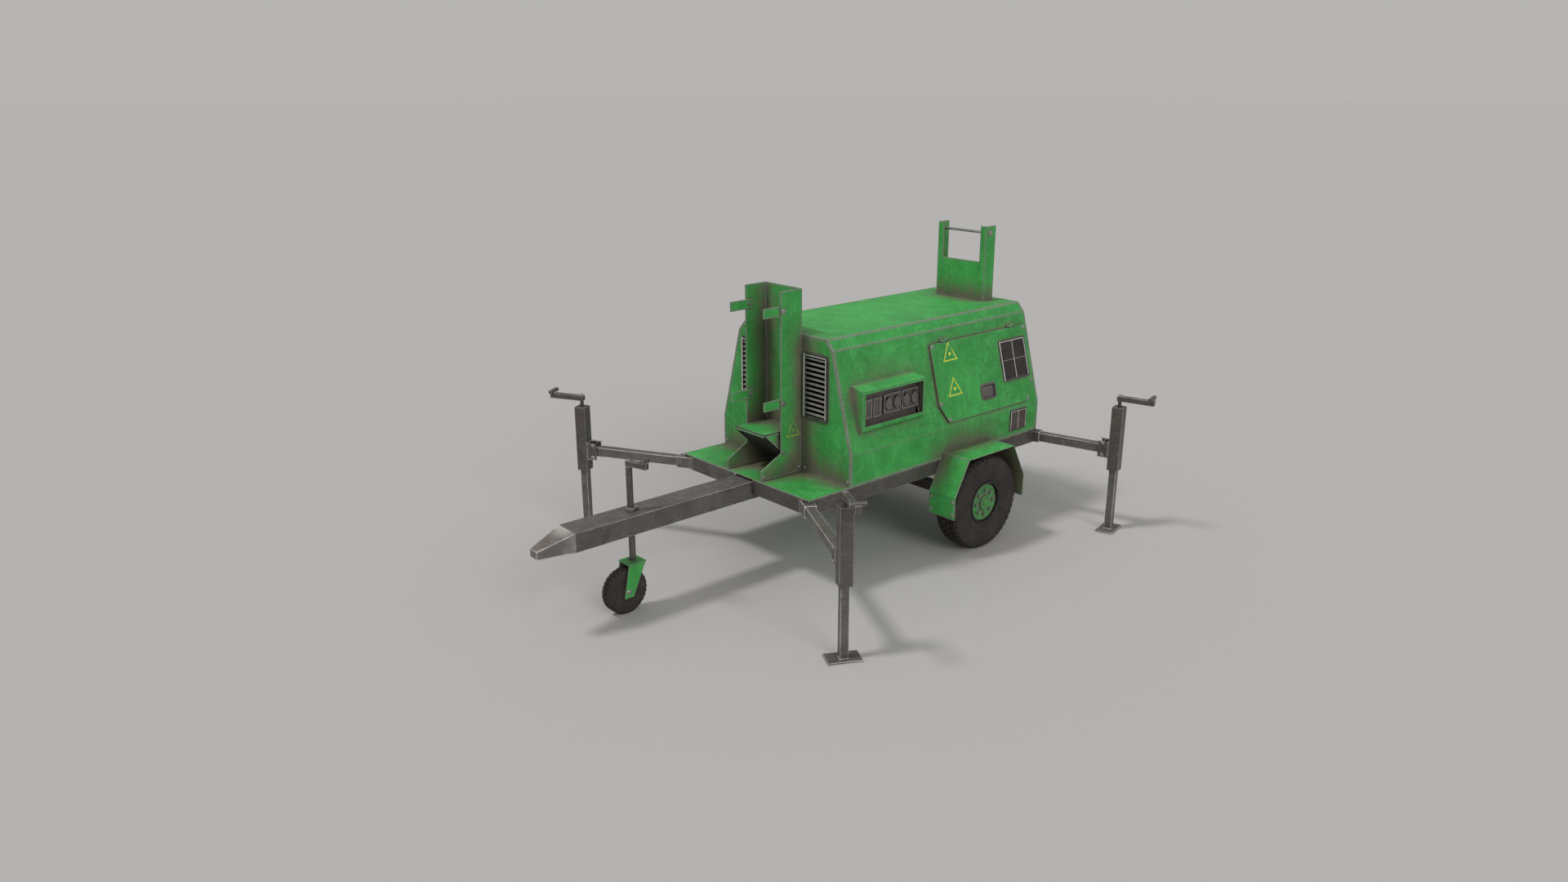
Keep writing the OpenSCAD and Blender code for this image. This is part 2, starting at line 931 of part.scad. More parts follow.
module cooling_fan() {
    color(plastic)
        translate([canopy_x + 1350, 0, crank_z])
            rotate([0, 90, 0])
                difference() {
                    union() {
                        cylinder(r = 38, h = 42);
                        for (a = [0 : 60 : 300])
                            rotate([0, 0, a])
                                translate([30, 0, 22])
                                    rotate([28, 0, 0])
                                        translate([0, -32, -2])
                                            cube([140, 64, 4]);
                    }
                    translate([0, 0, -1])
                        cylinder(r = 12 + run, h = 50);
                }
}

module fuel_tank() {
    color(plastic)
        translate([canopy_x, 0, 0]) {
            difference() {
                box([60, -420, deck_z], [420, 420, 745]);
                box([66, -414, deck_z + 6], [414, 414, 739]);
            }
            translate([360, -380, 745])
                cylinder(r = 32, h = 60);
            translate([360, -380, 805])
                cylinder(r = 40, h = 22);
        }
}

module battery() {
    color(rubber)
        translate([canopy_x + 650, -440, deck_z]) {
            cube([240, 170, 165]);
            translate([0, 0, 165])
                cube([240, 150, 18]);
            for (x = [30, 210])
                translate([x, 130, 183])
                    cylinder(r = 9, h = 14);
        }
}

module exhaust() {
    color(bright_steel)
        translate([canopy_x, muffler_y, 0]) {
            difference() {
                translate([900, 0, muffler_z])
                    rotate([0, 90, 0])
                        cylinder(r = 75, h = 400);
                translate([903, 0, muffler_z])
                    rotate([0, 90, 0])
                        cylinder(r = 72, h = 394);
            }
            for (x = [960, 1220]) {
                translate([x, 0, 1000])
                    rod_y(18, 105 - muffler_y, 0);
                translate([x, 0, 982])
                    cylinder(r = 18, h = 96);
            }
            translate([tail_x - tail_r, 0, muffler_z])
                rotate([0, 90, 0])
                    cylinder(r = tail_r, h = 900 - tail_x + tail_r + 1);
            difference() {
                translate([tail_x, 0, rail_top - 30])
                    cylinder(r = tail_r, h = muffler_z - rail_top + 30);
                translate([tail_x, 0, rail_top - 31])
                    cylinder(r = tail_r - 3, h = muffler_z - rail_top);
            }
        }
}

module air_filter() {
    color(plastic)
        translate([canopy_x, -192, 1140])
            rotate([0, 90, 0]) {
                translate([0, 0, 980])
                    cylinder(r = 78, h = 230);
                translate([0, 0, 1210])
                    cylinder(r = 84, h = 25);
                translate([0, 0, 930])
                    cylinder(r = 30, h = 50);
            }
    color(plastic)
        translate([canopy_x + 950, -192, 1000]) {
            cylinder(r = 26, h = 140);
            rod_y(18, 0, 32);
        }
}

// ---------------------------------------------------------------- road wheels

// Section of the tyre's casing: X is the radius, Y runs from its inner to its outer face
function tyre_section() =
    let (w = tyre_w, r = tyre_r)
    [[rim_r, 22], [180, 2], [205, 0], [r - 34, 6], [r - 8, 20], [r, 36],
        [r, w - 36], [r - 8, w - 20], [r - 34, w - 6], [205, w], [180, w - 2], [rim_r, w - 12],
        [rim_r, w - 32], [178, w - 16], [205, w - 13], [r - 38, w - 18], [r - 16, w - 40],
        [r - 16, 40], [r - 38, 18], [205, 13], [178, 16], [rim_r, 42]];

// Wheel frame: Z runs from the wheel's inner to its outer face
module wheel_frame() {
    translate([axle_x, -560, tyre_r])
        rotate([90, 0, 0])
            children();
}

module tyre() {
    color(rubber)
        wheel_frame()
            rotate_extrude($fn = 96)
                polygon(tyre_section());
}

module rim() {
    color(paint)
        wheel_frame()
            difference() {
                union() {
                    difference() {
                        translate([0, 0, 22])
                            cylinder(r = rim_r, h = tyre_w - 34, $fn = 96);
                        translate([0, 0, 21])
                            cylinder(r = rim_r - 7, h = tyre_w - 32, $fn = 96);
                    }
                    translate([0, 0, tyre_w - 36])
                        cylinder(r = rim_r - 6, h = 10, $fn = 96);
                    translate([0, 0, 30])
                        cylinder(r = 42, h = tyre_w - 42);
                    for (a = [0 : 45 : 315])
                        rotate([0, 0, a])
                            translate([82, 0, tyre_w - 27])
                                bolt_head(10, 12);
                }
                translate([0, 0, 20])
                    cylinder(r = 20 + run, h = tyre_w - 45);
                translate([0, 0, tyre_w - 30])
                    difference() {
                        cylinder(r = 54, h = 20);
                        translate([0, 0, -1])
                            cylinder(r = 42, h = 22);
                    }
            }
}

// ---------------------------------------------------------------- jockey wheel

module jockey_collar() {
    color(bright_steel)
        translate([jockey_x, 0, drawbar_top])
            difference() {
                union() {
                    cylinder(r = 27, h = 22);
                    translate([20, -8, 4])
                        cube([26, 16, 14]);
                }
                translate([0, 0, -1])
                    cylinder(r = stem_r + 0.5, h = 24);
            }
}

module jockey_stem() {
    color(steel)
        translate([jockey_x, 0, 0])
            difference() {
                translate([0, 0, stem_bottom])
                    cylinder(r = stem_r, h = stem_top - stem_bottom);
                translate([0, 0, stem_bottom - 1])
                    cylinder(r = 10 + run, h = 31);
                translate([0, 0, stem_top - 30])
                    cylinder(r = 9 + run, h = 31);
            }
}

module jockey_fork() {
    leg = [[-56, stem_bottom - 9], [50, stem_bottom - 9], [-jockey_trail + 28, jockey_r - 32],
        [-jockey_trail - 30, jockey_r - 32]];
    color(paint)
        translate([jockey_x, 0, 0]) {
            box([-58, -52, stem_bottom - 9], [52, 52, stem_bottom - 1]);
            translate([0, 0, stem_bottom - 1])
                cylinder(r = 10, h = 29);
            difference() {
                both_sides()
                    along_y(-46, 6)
                        polygon(leg);
                translate([-jockey_trail, 0, jockey_r])
                    rod_y(6, -60, 60);
            }
        }
    color(bright_steel)
        translate([jockey_x - jockey_trail, 0, jockey_r]) {
            rod_y(6, -46, 46);
            both_sides()
                translate([0, -46, 0])
                    rotate([90, 0, 0])
                        bolt_head(10, 7);
        }
}

module jockey_wheel() {
    color(rubber)
        translate([jockey_x - jockey_trail, 0, jockey_r])
            rotate([90, 0, 0])
                rotate_extrude()
                    polygon([[6 + run, -38], [22, -38], [30, -28], [68, -28], [76, -35],
                        [jockey_r - 12, -35], [jockey_r, -24], [jockey_r, 24], [jockey_r - 12, 35], [76, 35],
                        [68, 28], [30, 28], [22, 38], [6 + run, 38]]);
}

// Crank handle: bar along X, with a grip across its end
module crank_handle(reach, bar_w, bar_h, grip_len) {
    box([-bar_w / 2, -bar_w / 2, 0], [reach + bar_w / 2, bar_w / 2, bar_h]);
    translate([0, 0, bar_h])
        cylinder(r = 11, h = 8, $fn = 6);
    translate([reach, 0, bar_h + 12])
        rod_y(13, -grip_len / 2, grip_len / 2);
    box([reach - bar_w / 2, -bar_w / 2, bar_h], [reach + bar_w / 2, bar_w / 2, bar_h + 6]);
}

module jockey_crank() {
    color(steel)
        translate([jockey_x, 0, stem_top - 25]) {
            cylinder(r = 9, h = 30);
            translate([0, 0, 28])
                rotate([0, 0, -75])
                    crank_handle(110, 28, 30, 62);
        }
}

// ---------------------------------------------------------------- outriggers

// Arm tube with its end between the jack's cheeks
module arm(front) {
    reach = front ? front_reach : rear_reach;
    color(steel)
        outrigger_frame(front)
            translate([0, 0, arm_z])
                square_tube(-110, reach - jack_w / 2 - 8, arm_w, arm_w - 10);
}

// Outer tube of the jack with its cap, guide ring, mounting plate and two bolted cheeks
module jack_tube(front) {
    reach = front ? front_reach : rear_reach;
    color(steel)
        outrigger_frame(front)
            translate([reach, 0, 0]) {
                difference() {
                    box([-jack_w / 2, -jack_w / 2, jack_bottom], [jack_w / 2, jack_w / 2, jack_top]);
                    box([-29, -29, jack_bottom + 14], [29, 29, jack_top - 8]);
                    box([-leg_w / 2 - gap, -leg_w / 2 - gap, jack_bottom - 1],
                        [leg_w / 2 + gap, leg_w / 2 + gap, jack_bottom + 20]);
                    translate([0, 0, jack_top - 10])
                        cylinder(r = screw_r + run, h = 20);
                }
                translate([-jack_w / 2, 0, arm_z]) {
                    box([-8, -40, -54], [0, 40, 54]);
                    both_sides() {
                        box([-66, -arm_w / 2 - 9, -50], [-8, -arm_w / 2 - 1, 50]);
                        for (z = [-38, 38])
                            translate([-42, -arm_w / 2 - 9, z])
                                rotate([90, 0, 0])
                                    bolt_head(9, 7);
                    }
                    for (z = [-38, 38])
                        translate([-42, 0, z])
                            rod_y(6, -arm_w / 2 - 5, arm_w / 2 + 5);
                }
            }
}

// Inner leg with its foot plate and the screw's nut in its top
module jack_leg(front) {
    reach = front ? front_reach : rear_reach;
    color(bright_steel)
        outrigger_frame(front)
            translate([reach, 0, 0]) {
                box([-foot_w / 2, -foot_l / 2, 0], [foot_w / 2, foot_l / 2, 10]);
                difference() {
                    box([-leg_w / 2, -leg_w / 2, 9], [leg_w / 2, leg_w / 2, jack_bottom + 70]);
                    box([-leg_w / 2 + 5, -leg_w / 2 + 5, 15], [leg_w / 2 - 5, leg_w / 2 - 5, jack_bottom + 54]);
                    translate([0, 0, jack_bottom + 50])
                        cylinder(r = screw_r + run, h = 25);
                }
            }
}

module jack_crank(front) {
    reach = front ? front_reach : rear_reach;
    color(steel)
        outrigger_frame(front)
            translate([reach, 0, 0]) {
                translate([0, 0, jack_bottom + 20])
                    cylinder(r = screw_r, h = jack_top + 40 - jack_bottom - 20);
                translate([0, 0, jack_top + 37])
                    crank_handle(crank_reach, 32, 32, 84);
            }
}

// ---------------------------------------------------------------- assembly

side_rails();
cross_members();
deck_plate();
drawbar();
coupling_socket();
axle_beam();
outrigger_sleeves();
canopy_shell();
grilles();
mast_channel();
mast_tabs();
mast_foot_box();
mast_rest();
mast_rest_rod();
body_bolts();
panel_hood();
control_panel();
fenders();
engine_block();
alternator();
radiator();
fuel_tank();
battery();
exhaust();
air_filter();
jockey_collar();
door_hinges();
service_panel();
cooling_fan();
tyre();  // tyre_left
rim();  // rim_left
on_side(1) tyre();  // tyre_right
on_side(1) rim();  // rim_right
door_panel();
door_vent();
door_latch();
jockey_stem();
jockey_fork();
jockey_wheel();
jockey_crank();
socket_lid(1);  // socket_lid_1
socket_lid(2);  // socket_lid_2
socket_lid(3);  // socket_lid_3
socket_lid(4);  // socket_lid_4
arm(true);  // arm_front_left
jack_tube(true);  // jack_tube_front_left
jack_leg(true);  // jack_leg_front_left
jack_crank(true);  // jack_crank_front_left
on_side(1) arm(true);  // arm_front_right
on_side(1) jack_tube(true);  // jack_tube_front_right
on_side(1) jack_leg(true);  // jack_leg_front_right
on_side(1) jack_crank(true);  // jack_crank_front_right
arm(false);  // arm_rear_left
jack_tube(false);  // jack_tube_rear_left
jack_leg(false);  // jack_leg_rear_left
jack_crank(false);  // jack_crank_rear_left
on_side(1) arm(false);  // arm_rear_right
on_side(1) jack_tube(false);  // jack_tube_rear_right
on_side(1) jack_leg(false);  // jack_leg_rear_right
on_side(1) jack_crank(false);  // jack_crank_rear_right
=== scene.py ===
# Looks of the towable diesel generator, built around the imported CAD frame.
# Everything is in metres in the row frame: +Z up, drawbar towards -X, service door on the -Y side.
import json
import math

import bmesh
import bpy
from mathutils import Matrix, Vector


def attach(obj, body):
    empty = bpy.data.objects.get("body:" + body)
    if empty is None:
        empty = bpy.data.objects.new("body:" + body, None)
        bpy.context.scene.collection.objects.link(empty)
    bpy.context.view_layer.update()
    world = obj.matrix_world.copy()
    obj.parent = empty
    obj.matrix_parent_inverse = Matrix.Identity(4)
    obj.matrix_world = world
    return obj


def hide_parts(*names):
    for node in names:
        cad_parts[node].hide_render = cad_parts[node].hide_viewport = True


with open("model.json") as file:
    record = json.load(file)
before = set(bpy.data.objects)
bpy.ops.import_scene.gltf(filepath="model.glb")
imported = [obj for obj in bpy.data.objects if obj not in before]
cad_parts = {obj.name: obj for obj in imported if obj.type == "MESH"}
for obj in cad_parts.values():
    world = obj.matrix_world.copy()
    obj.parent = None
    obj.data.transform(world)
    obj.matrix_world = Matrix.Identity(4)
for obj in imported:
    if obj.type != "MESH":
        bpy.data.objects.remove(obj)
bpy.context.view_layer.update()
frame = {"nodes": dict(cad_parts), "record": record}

NODES = frame["nodes"]
BODY_OF = {n: b for b, members in frame["record"]["behaviour"]["bodies"].items() for n in members}
SLOT_OF = {s["node"]: s["material_slot"] for s in frame["record"]["subparts"]}
SCENE = bpy.context.scene


# ---------------------------------------------------------------- materials

class Graph:
    """A small helper around one material's node tree."""

    def __init__(self, name):
        self.mat = bpy.data.materials.new(name)
        self.mat.use_nodes = True
        self.tree = self.mat.node_tree
        self.tree.nodes.clear()
        self.bsdf = self.add("ShaderNodeBsdfPrincipled")
        out = self.add("ShaderNodeOutputMaterial")
        self.tree.links.new(self.bsdf.outputs[0], out.inputs[0])
        self.coords = self.add("ShaderNodeTexCoord").outputs["Object"]

    def add(self, kind, **props):
        node = self.tree.nodes.new(kind)
        for k, v in props.items():
            setattr(node, k, v)
        return node

    def put(self, socket, value):
        if isinstance(value, bpy.types.NodeSocket):
            self.tree.links.new(value, socket)
        elif value is not None:
            is_colour = socket.type == "RGBA" and len(value) == 3
            socket.default_value = (*value, 1.0) if is_colour else value

    def set(self, **values):
        names = {"color": "Base Color", "rough": "Roughness", "metal": "Metallic", "normal": "Normal",
                 "spec": "Specular IOR Level"}
        for k, v in values.items():
            self.put(self.bsdf.inputs[names[k]], v)

    def scaled(self, x, y, z):
        node = self.add("ShaderNodeMapping")
        self.put(node.inputs["Vector"], self.coords)
        node.inputs["Scale"].default_value = (x, y, z)
        return node.outputs[0]

    def noise(self, scale, detail=4.0, rough=0.55, vec=None, distort=0.0):
        node = self.add("ShaderNodeTexNoise")
        self.put(node.inputs["Vector"], vec or self.coords)
        node.inputs["Scale"].default_value = scale
        node.inputs["Detail"].default_value = detail
        node.inputs["Roughness"].default_value = rough
        node.inputs["Distortion"].default_value = distort
        return node.outputs["Fac"]

    def ramp(self, fac, *stops):
        node = self.add("ShaderNodeValToRGB")
        self.put(node.inputs[0], fac)
        ramp = node.color_ramp
        while len(ramp.elements) < len(stops):
            ramp.elements.new(0.5)
        for e, (pos, val) in zip(ramp.elements, stops):
            e.position = pos
            e.color = (val, val, val, 1) if isinstance(val, (int, float)) else (*val, 1)
        return node.outputs[0]

    def math(self, op, a, b=None, clamp=False):
        node = self.add("ShaderNodeMath", operation=op, use_clamp=clamp)
        self.put(node.inputs[0], a)
        if b is not None:
            self.put(node.inputs[1], b)
        return node.outputs[0]

    def mix(self, fac, a, b):
        node = self.add("ShaderNodeMix", data_type="RGBA")
        self.put(node.inputs[0], fac)
        self.put(node.inputs[6], a)
        self.put(node.inputs[7], b)
        return node.outputs[2]

    def edges(self, radius, low=0.02, high=0.2, samples=8):
        """A mask that is 1 along the edges of the shape."""
        bevel = self.add("ShaderNodeBevel", samples=samples)
        bevel.inputs["Radius"].default_value = radius
        geo = self.add("ShaderNodeNewGeometry")
        dot = self.add("ShaderNodeVectorMath", operation="DOT_PRODUCT")
        self.tree.links.new(bevel.outputs[0], dot.inputs[0])
        self.tree.links.new(geo.outputs["True Normal"], dot.inputs[1])
        off = self.math("SUBTRACT", 1.0, dot.outputs["Value"])
        return self.ramp(off, (low, 0.0), (high, 1.0))

    def crevice(self, distance):
        """A mask that is 1 deep in corners and 0 on open faces."""
        ao = self.add("ShaderNodeAmbientOcclusion", samples=8)
        ao.inputs["Distance"].default_value = distance
        return self.math("SUBTRACT", 1.0, ao.outputs["AO"])

    def bump(self, height, strength, distance=0.001, normal=None):
        node = self.add("ShaderNodeBump")
        node.inputs["Strength"].default_value = strength
        node.inputs["Distance"].default_value = distance
        self.put(node.inputs["Height"], height)
        if normal is not None:
            self.put(node.inputs["Normal"], normal)
        return node.outputs[0]


def paint_material(name, light, dark, grime_and_shade=1.0, edge=0.006, reach=0.10, wear=0.9, span=(0.012, 0.085)):
    """Weathered paint: cloudy colour, rain streaks, a grimy film with painted shade in the corners and bare,
    greyish edges.
    """
    g = Graph(name)
    broad = g.noise(1.9, 6, 0.6)
    patch = g.noise(7.5, 8, 0.68, distort=0.7)
    streak = g.noise(1.0, 6, 0.65, vec=g.scaled(30, 30, 1.8))
    fine = g.noise(42.0, 6, 0.72)
    colour = g.mix(g.ramp(broad, (0.34, 0.0), (0.66, 1.0)), dark, light)
    faded = [min(1.0, c * 1.24 + 0.026) for c in light]
    colour = g.mix(g.ramp(patch, (0.44, 0.0), (0.70, 0.75)), colour, faded)
    soot = [c * 0.42 + 0.024 for c in dark]
    smear = g.math("MULTIPLY", g.ramp(streak, (0.45, 0.0), (0.78, 0.55)),
                   g.ramp(patch, (0.34, 0.15), (0.62, 1.0)))
    colour = g.mix(smear, colour, soot)
    mottle = g.math("MULTIPLY", g.ramp(fine, (0.46, 0.0), (0.70, 0.65)),
                    g.ramp(broad, (0.4, 1.0), (0.7, 0.25)))
    colour = g.mix(mottle, colour, soot)
    # A grimy film and painted shade gather in corners and along joints
    dirt_noise = g.noise(8.0, 8, 0.72, distort=0.5)
    dirt_and_shade = g.math("MULTIPLY", g.crevice(reach), g.ramp(dirt_noise, (0.28, 0.62), (0.68, 1.9)))
    dirt_and_shade = g.math("MULTIPLY", g.ramp(dirt_and_shade, (0.06, 0.0), (0.52, 1.0)), grime_and_shade, clamp=True)
    film = g.mix(g.ramp(dirt_noise, (0.35, 0.0), (0.65, 1.0)), (0.100, 0.082, 0.062), (0.178, 0.152, 0.114))
    colour = g.mix(g.math("MULTIPLY", dirt_and_shade, 0.92), colour, film)
    # Painted shade: the deepest crevices and narrow gaps go nearly black
    colour = g.mix(g.ramp(g.crevice(0.03), (0.42, 0.0), (0.80, 0.92)), colour, (0.016, 0.013, 0.010))
    # Specks of dirt and small chips
    specks = g.ramp(g.noise(110.0, 3, 0.6), (0.64, 0.0), (0.70, 0.6))
    specks = g.math("MULTIPLY", specks, g.ramp(patch, (0.42, 0.0), (0.6, 1.0)))
    colour = g.mix(specks, colour, (0.10, 0.085, 0.065))
    # Paint rubbed off along the edges
    worn = g.math("MULTIPLY", g.edges(edge, *span), g.ramp(g.noise(26.0, 7, 0.72), (0.28, 0.6), (0.46, 1.0)))
    bare = g.mix(g.ramp(fine, (0.38, 0.0), (0.62, 1.0)), (0.165, 0.190, 0.148), (0.280, 0.305, 0.250))
    colour = g.mix(g.math("MULTIPLY", worn, wear), colour, bare)
    rough = g.math("ADD", g.ramp(patch, (0.3, 0.50), (0.7, 0.66)), g.math("MULTIPLY", dirt_and_shade, 0.22), clamp=True)
    peel = g.bump(g.noise(320.0, 2, 0.5), 0.06, 0.0006)
    dent = g.bump(g.noise(3.2, 2, 0.4), 0.22, 0.006, peel)
    chip = g.bump(g.math("MULTIPLY", worn, -1.0), 0.30, 0.0004, dent)
    g.set(color=colour, rough=rough, metal=g.math("MULTIPLY", worn, 0.2), normal=chip, spec=0.22)
    return g.mat


def steel_material(name, base, light, rust=0.3, rough=0.5, metal=0.75, edge_wear_and_highlight=(0.42, 0.41, 0.39),
                   edge=0.004, reach=0.06):
    """Bare mill steel: brushed and blotched, a little rust, dirty corners deepened by painted shade, and
    polished edges lightened partly as a painted highlight.
    """
    g = Graph(name)
    broad = g.noise(4.5, 8, 0.68, distort=0.6)
    brushed = g.noise(1.0, 4, 0.6, vec=g.scaled(16, 16, 150))
    colour = g.mix(g.ramp(broad, (0.32, 0.0), (0.68, 1.0)), base, light)
    colour = g.mix(g.ramp(brushed, (0.45, 0.0), (0.75, 0.30)), colour, [min(1.0, c * 1.8) for c in light])
    blotch = g.ramp(g.noise(12.0, 9, 0.74, distort=0.9), (0.50, 0.0), (0.68, 1.0))
    rusty = g.math("MULTIPLY", blotch, rust)
    colour = g.mix(rusty, colour, (0.090, 0.047, 0.026))
    pale = g.ramp(g.noise(19.0, 8, 0.7, distort=0.3), (0.56, 0.0), (0.72, 0.5))
    colour = g.mix(pale, colour, [min(1.0, c * 2.1) for c in light])
    # Dirty corners with painted shade: they go nearly black and lose their metal sheen
    dirt_and_shade = g.math("MULTIPLY", g.crevice(reach), g.ramp(g.noise(13.0, 6, 0.7), (0.3, 0.7), (0.7, 1.8)))
    dirt_and_shade = g.ramp(dirt_and_shade, (0.10, 0.0), (0.75, 0.92))
    colour = g.mix(dirt_and_shade, colour, (0.026, 0.021, 0.017))
    # Worn edges, lightened partly as a painted highlight
    worn = g.math("MULTIPLY", g.edges(edge, 0.010, 0.060),
                  g.ramp(g.noise(9.0, 8, 0.72), (0.38, 0.30), (0.54, 1.0)))
    colour = g.mix(worn, colour, edge_wear_and_highlight)
    scratch = g.ramp(g.noise(1.0, 3, 0.5, vec=g.scaled(240, 12, 30)), (0.66, 0.0), (0.74, 0.5))
    colour = g.mix(scratch, colour, [min(1.0, c * 1.6) for c in light])
    shine = g.math("SUBTRACT", g.ramp(broad, (0.3, rough + 0.08), (0.7, rough - 0.06)),
                   g.math("MULTIPLY", worn, 0.12))
    shine = g.math("ADD", shine, g.math("MULTIPLY", rusty, 0.3), clamp=True)
    metallic = g.math("SUBTRACT", metal, g.math("MULTIPLY", g.math("MAXIMUM", rusty, dirt_and_shade), 0.6), clamp=True)
    pits = g.bump(g.noise(140.0, 5, 0.7), 0.18, 0.0006)
    waves = g.bump(g.noise(8.0, 3, 0.5), 0.12, 0.002, pits)
    g.set(color=colour, rough=shine, metal=metallic, normal=waves)
    return g.mat


def rubber_material(name, base, dust, dust_amount=0.6):
    g = Graph(name)
    broad = g.noise(6.0, 6, 0.6)
    fine = g.noise(60.0, 6, 0.7)
    colour = g.mix(g.ramp(broad, (0.35, 0.0), (0.7, 1.0)), base, [c * 1.5 for c in base])
    patches = g.noise(13.0, 8, 0.7, distort=0.4)
    dusty = g.math("MULTIPLY", g.ramp(patches, (0.40, 0.0), (0.70, 1.0)), dust_amount)
    colour = g.mix(dusty, colour, dust)
    # Painted shade: darker in the grooves and corners
    low = g.math("MULTIPLY", g.crevice(0.03), 0.8)
    colour = g.mix(low, colour, [c * 0.5 for c in base])
    rub = g.math("MULTIPLY", g.edges(0.004, 0.02, 0.22), g.ramp(fine, (0.35, 0.2), (0.6, 0.8)))
    colour = g.mix(rub, colour, [c * 2.4 for c in base])
    grain = g.bump(g.noise(420.0, 4, 0.7), 0.18, 0.0004)
    scuff = g.bump(fine, 0.10, 0.0008, grain)
    g.set(color=colour, rough=g.ramp(broad, (0.3, 0.74), (0.7, 0.90)), normal=scuff, spec=0.25)
    return g.mat


def plastic_material(name, base, rough=0.5, wear=(0.12, 0.11, 0.10), edge=0.0022):
    g = Graph(name)
    broad = g.noise(14.0, 7, 0.66)
    colour = g.mix(g.ramp(broad, (0.3, 0.0), (0.7, 1.0)), [c * 0.75 for c in base], [c * 1.3 for c in base])
    # Painted shade: nearly black deep in the recesses
    recess_shade = g.math("MULTIPLY", g.crevice(0.02), g.ramp(broad, (0.3, 0.8), (0.7, 1.5)))
    colour = g.mix(g.ramp(recess_shade, (0.15, 0.0), (0.8, 0.9)), colour, (0.016, 0.013, 0.011))
    worn = g.math("MULTIPLY", g.edges(edge, 0.02, 0.18),
                  g.ramp(g.noise(70.0, 5, 0.7), (0.35, 0.4), (0.55, 1.0)))
    colour = g.mix(worn, colour, wear)
    dusty = g.math("MULTIPLY", g.ramp(g.noise(34.0, 8, 0.72), (0.46, 0.0), (0.72, 1.0)), 0.35)
    colour = g.mix(dusty, colour, (0.150, 0.130, 0.108))
    grain = g.bump(g.noise(700.0, 2, 0.5), 0.12, 0.0003)
    g.set(color=colour, rough=g.ramp(broad, (0.3, rough - 0.05), (0.7, rough + 0.12)), normal=grain)
    return g.mat


def mark_material(name, colour, wear=0.4):
    """Thin painted mark, scuffed down to the paint under it."""
    g = Graph(name)
    scuff = g.ramp(g.noise(30.0, 7, 0.75), (0.30 + wear * 0.2, 0.0), (0.38 + wear * 0.2, 1.0))
    tint = g.mix(scuff, LIT_GREEN, colour)
    g.set(color=tint, rough=g.ramp(scuff, (0.0, 0.65), (1.0, 0.55)),
          normal=g.bump(g.noise(300.0, 2, 0.5), 0.05, 0.0003))
    return g.mat


LIT_GREEN, DEEP_GREEN = (0.056, 0.388, 0.082), (0.040, 0.290, 0.058)
BODY_PAINT = paint_material("worn_body_paint", LIT_GREEN, DEEP_GREEN, 1.0, 0.023, 0.20, 1.0, (0.003, 0.022))
PLATE_PAINT = paint_material("worn_plate_paint", LIT_GREEN, DEEP_GREEN, 1.05, 0.016, 0.16, 1.0,
                             (0.006, 0.040))
PANEL_PAINT = paint_material("worn_panel_paint", LIT_GREEN, DEEP_GREEN, 1.0, 0.007, 0.08, 1.0, (0.006, 0.045))
# Darker green for painted shade on the door's left and bottom side faces
SHADED_SIDE_PAINT = paint_material("shaded_side_paint", (0.030, 0.105, 0.034), (0.018, 0.060, 0.020), 1.2,
                             0.003, 0.08, 0.25)
WHEEL_PAINT = paint_material("worn_wheel_paint", (0.060, 0.34, 0.080), (0.045, 0.24, 0.060), 1.0, 0.004,
                             0.03)
STEEL = steel_material("worn_steel", (0.075, 0.069, 0.064), (0.130, 0.122, 0.114), rust=0.35, rough=0.50,
                       metal=0.55, edge_wear_and_highlight=(0.58, 0.56, 0.53), edge=0.005)
BEAM = steel_material("drawbar_steel", (0.080, 0.073, 0.067), (0.140, 0.132, 0.123), rust=0.30, rough=0.60,
                      metal=0.35, edge_wear_and_highlight=(0.82, 0.80, 0.76), edge=0.005)
NOSE_STEEL = steel_material("worn_nose_steel", (0.118, 0.108, 0.099), (0.195, 0.181, 0.168), rust=0.25,
                            rough=0.55, metal=0.35, edge_wear_and_highlight=(0.95, 0.93, 0.89), edge=0.010)
# Sleeve mouths: bare steel lightened to near white as a painted highlight
MOUTH_HIGHLIGHT_STEEL = steel_material("sleeve_mouth_highlight_steel", (0.62, 0.60, 0.57), (0.80, 0.78, 0.74), rust=0.05,
                             rough=0.5, metal=0.1, edge_wear_and_highlight=(1.0, 0.98, 0.94), reach=0.004)
LEG_STEEL = steel_material("leg_steel", (0.082, 0.077, 0.071), (0.150, 0.142, 0.134), rust=0.30, rough=0.55,
                           metal=0.3, edge_wear_and_highlight=(0.92, 0.90, 0.86), edge=0.0065)
STEEL_DARK = steel_material("weathered_steel", (0.030, 0.027, 0.025), (0.060, 0.055, 0.050), rust=0.25,
                            rough=0.55, metal=0.5, edge_wear_and_highlight=(0.20, 0.19, 0.18))
STEEL_BRIGHT = steel_material("scuffed_steel", (0.17, 0.165, 0.157), (0.33, 0.32, 0.305), rust=0.14,
                              rough=0.36, metal=0.7, edge_wear_and_highlight=(0.75, 0.74, 0.70), edge=0.003, reach=0.02)
FRAME_STEEL = steel_material("grille_frame_steel", (0.040, 0.037, 0.034), (0.085, 0.080, 0.074), rust=0.3,
                             rough=0.5, metal=0.45, edge_wear_and_highlight=(0.30, 0.29, 0.27), edge=0.003, reach=0.02)
